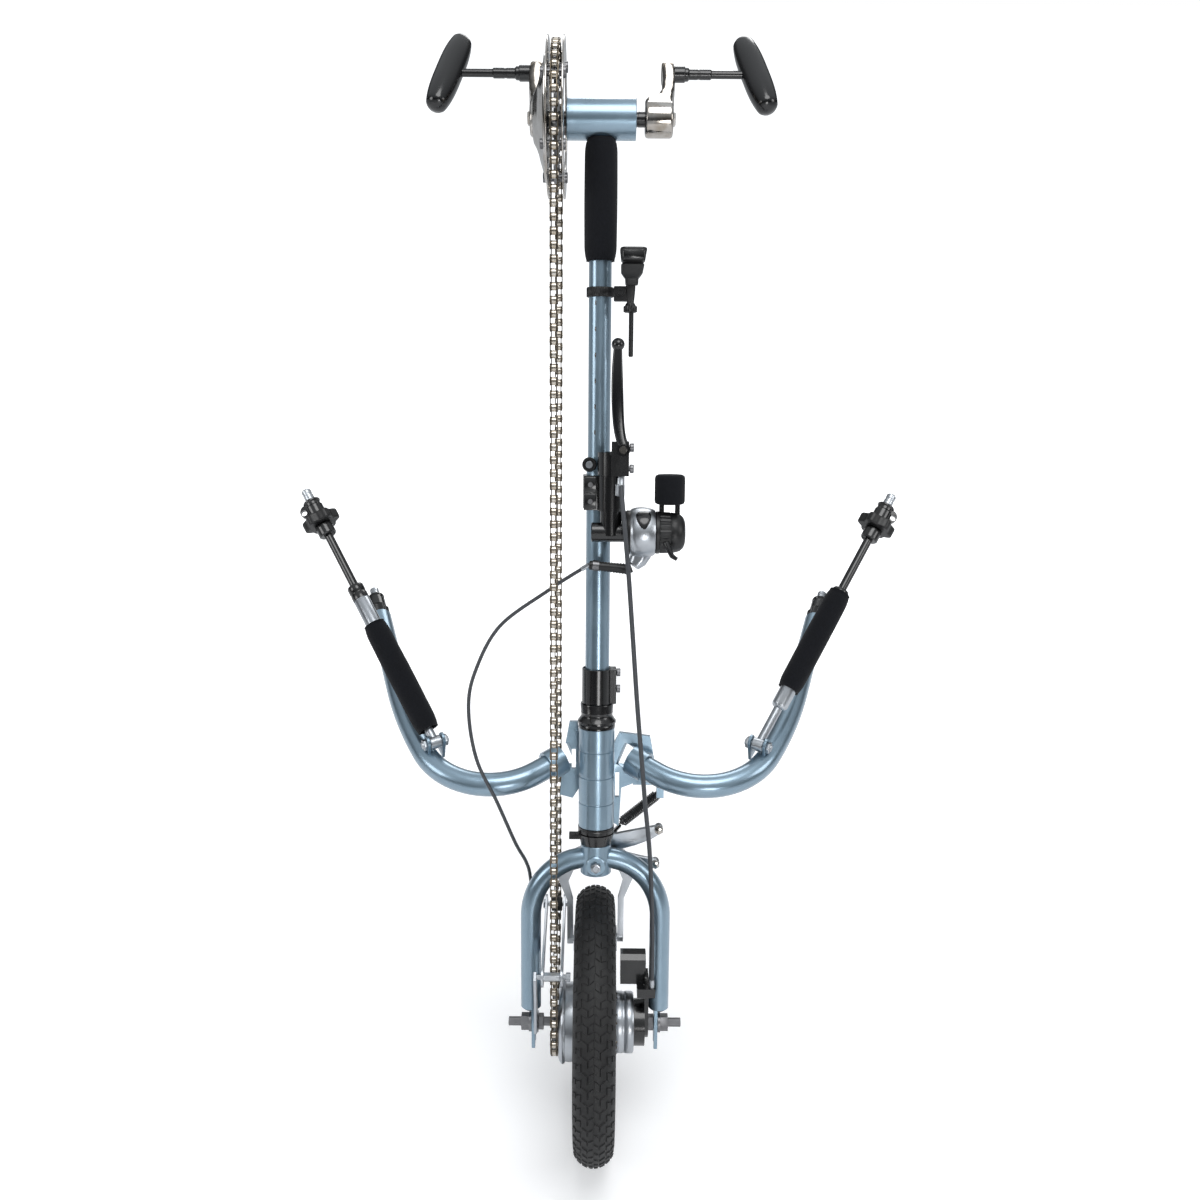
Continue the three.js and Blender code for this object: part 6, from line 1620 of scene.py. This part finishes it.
# %% Lamp
# Each tier: its height over the foot, its middle across and rearward, and half its sizes
LAMP_FOOT = 794
LAMP_TIERS = [
    (0, 31, -23, 5.5, 5), (0.8, 31, -23, 6.3, 5.8), (6, 31, -24, 6.6, 6.5), (8.4, 31, -25, 8.6, 8),
    (11.4, 31, -26, 10.6, 9.6), (18.6, 31.6, -28, 11.4, 11), (20.2, 31.8, -28, 10.2, 9.8),
    (21.4, 32, -29, 10.4, 10), (22.2, 32, -29, 11.6, 12), (33, 32.3, -29, 13.1, 12.8),
    (34.4, 32.3, -29, 12.6, 12.3), (35, 32.3, -29, 11.4, 11),
]
LENS_TILT = 0.075


def lamp_case():
    tiers = []
    for up, x, back, half_x, half_y in LAMP_TIERS:
        sizes = (half_x, half_y, min(half_x, half_y) * 0.45)
        tiers += boxes(x, back, [(LAMP_FOOT + up, sizes)])
    finished("lamp_case", lofted(tiers), "lamp", place=STEER, finish="black_plastic", hides=("lamp",),
             sharp=math.radians(28))
    glass = lofted(boxes(0, 0, ((-1, (10.4, 4.6, 2.2)), (0.2, (10.4, 4.6, 2.2)), (0.7, (9.7, 4, 1.9)))))
    tilt = Matrix.Rotation(LENS_TILT + math.pi / 2, 4, "X")
    finished("lamp_lens", glass, "lamp", finish="black_paint",
             place=place_at(32.2, -41.2, LAMP_FOOT + 27.8) @ tilt)


lamp_case()

# %% [markdown]
# The lamp's foot hangs on a ribbed strap round the mast. A boss closes the strap, and a
# threaded tail with a knurled nut hangs from the foot.

# %% Lamp strap, foot and tail
# The strap and the nut: the height, the radius and the depth of the ribs of each section
STRAP_RIBS = 52
STRAP = ((784, 13.0, 0.05), (784.7, 13.5, 0.22), (793, 13.5, 0.22), (793.7, 13.0, 0.05))
NUT_RIBS = 18
NUT = ((768, 5, 0.1), (768.8, 6.4, 0.4), (774, 6.4, 0.4), (775, 5.2, 0.1), (777.2, 4.2, 0))
TAIL_X, TAIL_BACK = 31, -18


def ribbed(sections, ribs):
    return lofted([(up, wavy(radius, depth, ribs, ribs * 6)) for up, radius, depth in sections])


def lamp_bracket():
    finished("lamp_strap", ribbed(STRAP, STRAP_RIBS), "lamp_bracket", finish="black_plastic", place=STEER,
             hides=("lamp_bracket",), sharp=math.radians(50))
    arm = boxes(21.5, -16, (
        (779, (7, 5, 1)), (780, (8, 6, 1.6)), (792.6, (8, 6, 1.6)), (793.4, (7.4, 5.4, 1.2))))
    finished("lamp_arm", lofted(arm), "lamp_bracket", finish="black_plastic", place=STEER)
    shoe = boxes(30, -18, (
        (777, (3.4, 3.4, 1)), (780, (3.8, 4, 1.2)), (788, (4.6, 5, 1.4)), (793.6, (4.8, 5.4, 1.4))))
    finished("lamp_shoe", lofted(shoe), "lamp_bracket", finish="black_plastic", place=STEER)
    finished("strap_boss", spun([
        (0, -2.6), (1.5, -2.6), (1.5, -3.6), (3, -3.6), (3.5, -3.1), (3.5, -2), (4.3, -2), (4.8, -1.5),
        (4.8, 1), (0, 1),
    ], 32), "lamp_bracket", finish="black_plastic", place=place_at(20, -22, 788.5) @ ALONG)
    finished("lamp_tail", spun([(0, 725), (1.7, 725), (2.4, 726.2), (2.4, 780), (0, 780)], 20),
             "lamp_bracket", finish="black_plastic", place=place_at(TAIL_X, TAIL_BACK, 0))
    finished("tail_nut", ribbed(NUT, NUT_RIBS), "lamp_bracket", finish="black_plastic",
             place=place_at(TAIL_X - 1, TAIL_BACK, 0), sharp=math.radians(50))


lamp_bracket()

# %% [markdown]
# The mast carries a row of short pale marks for setting its height. They are thin enough
# to slide into the lower tube with it.

# %% Height marks
MARKS = 6
MARK_LOW = 650
MARK_STEP = 25.6
MARK_SIZE = (1.5, 0.16, 4.6)
MARK_TURN = math.asin(-4.3 / UPPER_RADIUS)


def height_marks():
    bm = bmesh.new()
    turn = Matrix.Rotation(MARK_TURN, 4, "Z")
    size = Matrix.Diagonal((*(Vector(MARK_SIZE) * MM), 1))
    for i in range(MARKS):
        spot = Vector((0, -UPPER_RADIUS, MARK_LOW + MARK_STEP * i)) * MM
        bmesh.ops.create_cube(bm, size=1, matrix=turn @ Matrix.Translation(spot) @ size)
    finished("height_marks", bm, "upper_mast", finish="chrome", place=STEER)


height_marks()

# %% Height clamp plates
for word, low in (("lower", 573.2), ("upper", 590.2)):
    cover = boxes(-8.6, -22.2, (
        (low, (5.6, 0.9, 0.5)), (low + 0.5, (6.1, 1.2, 0.6)), (low + 15, (6.1, 1.2, 0.6)),
        (low + 15.5, (5.6, 0.9, 0.5))))
    finished(word + "_clamp_plate", lofted(cover), "height_clamp", finish="black_paint", place=STEER)
    finished(word + "_plate_screw", spun([
        (0, -0.6), (1.2, -0.6), (1.3, -1.6), (2.2, -1.6), (2.7, -1.1), (2.7, 0.5), (0, 0.5),
    ], 24), "height_clamp", finish="dark_steel", place=place_at(-8.2, -23.2, low + 7.7) @ ALONG)

# %% Castings that keep their own shape
dressed("lever_perch", 0.0014, 3, finish="black_paint")
dressed("height_clamp", 0.0009, 3, finish="black_paint")
dressed("mounting_plate", 0.0006, 2, finish="frame_paint")
for node in ("left_brake_arm", "right_brake_arm"):
    dressed(node, 0.0009, 3, finish="satin_alloy")

# %% Brake caliper details
# Each reach: its line, and half its height at every point of the line
REACHES = {
    "left": ([(6, 23, 193), (22, 23, 199), (42, 23, 203), (58, 23, 209), (69, 23, 217)],
             [8, 7, 5, 4.6, 5.4]),
    "right": ([(6, 29, 187), (24, 29, 184), (44, 29, 180), (58, 29, 177), (66, 29, 175)],
              [8, 6, 4.6, 4.4, 5.2]),
}
REACH_HALF = 3


def reach_bar(word, line, halves):
    """One caliper arm's cast reach: it lies across the crown and ends in an anchor bolt."""
    node = word + "_brake_arm"
    sizes = [(REACH_HALF, half) for half in halves]
    along_curve(word + "_reach", node, line, sizes, (0, 1, 0), 1.6, finish="satin_alloy")
    x, back, up = line[-1]
    place = place_at(x, back - REACH_HALF, up) @ ALONG
    finished(word + "_anchor_bolt", hexagon(5, -4, 0.6, 0.8), node, finish="chrome", place=place)
    finished(word + "_anchor_nut", spun([(0, 5.4), (4.6, 5.4), (4.6, 9), (4, 9.6), (0, 9.6)], 24),
             node, finish="dark_steel", place=place)


for word, (line, halves) in REACHES.items():
    reach_bar(word, line, halves)

# %% [markdown]
# The remaining pieces keep the shape of their solids. Each is copied, its rounds are
# shaded smooth, its hard edges get a small bevel that catches the light, and it takes
# its own finish.

# %% Dress what is left
for node in sorted(NODES):
    if not NODES[node].hide_render:
        dressed(node)

# %% [markdown]
# The floor lies just under the tyre. To the camera it is plain white with the shadow in
# it, so a glow that only the camera sees is added to the diffuse surface.

# %% Floor
FLOOR_HALF = 60.0
FLOOR_DROP = 0.0005
GLOW_NEAR = 0.22
GLOW_FAR = 0.75
GLOW_START = 0.5
GLOW_END = 1.6


def floor():
    made = Finish("white_floor", (0.93, 0.93, 0.94), 0.9)
    seen = made.node("ShaderNodeLightPath")
    x, y, _ = made.axes()
    square = x * x + y * y
    away = (square.maths("POWER", square, 0.5) - GLOW_START) / (GLOW_END - GLOW_START)
    strength = away.clamped() * (GLOW_FAR - GLOW_NEAR) + GLOW_NEAR
    glow = made.node("ShaderNodeEmission", {}, {"Color": (1, 1, 1, 1), "Strength": seen * strength})
    both = made.node("ShaderNodeAddShader", {}, {0: glow, 1: Signal(made, made.shader.outputs[0])})
    made.feed(made.tree.nodes["Material Output"].inputs["Surface"], both)
    bm = bmesh.new()
    bmesh.ops.create_grid(bm, x_segments=2, y_segments=2, size=FLOOR_HALF)
    mesh = bpy.data.meshes.new("floor")
    bm.to_mesh(mesh)
    bm.free()
    mesh.materials.append(made.material)
    plane = bpy.data.objects.new("floor", mesh)
    plane.location.z = -FLOOR_DROP
    bpy.context.scene.collection.objects.link(plane)


floor()
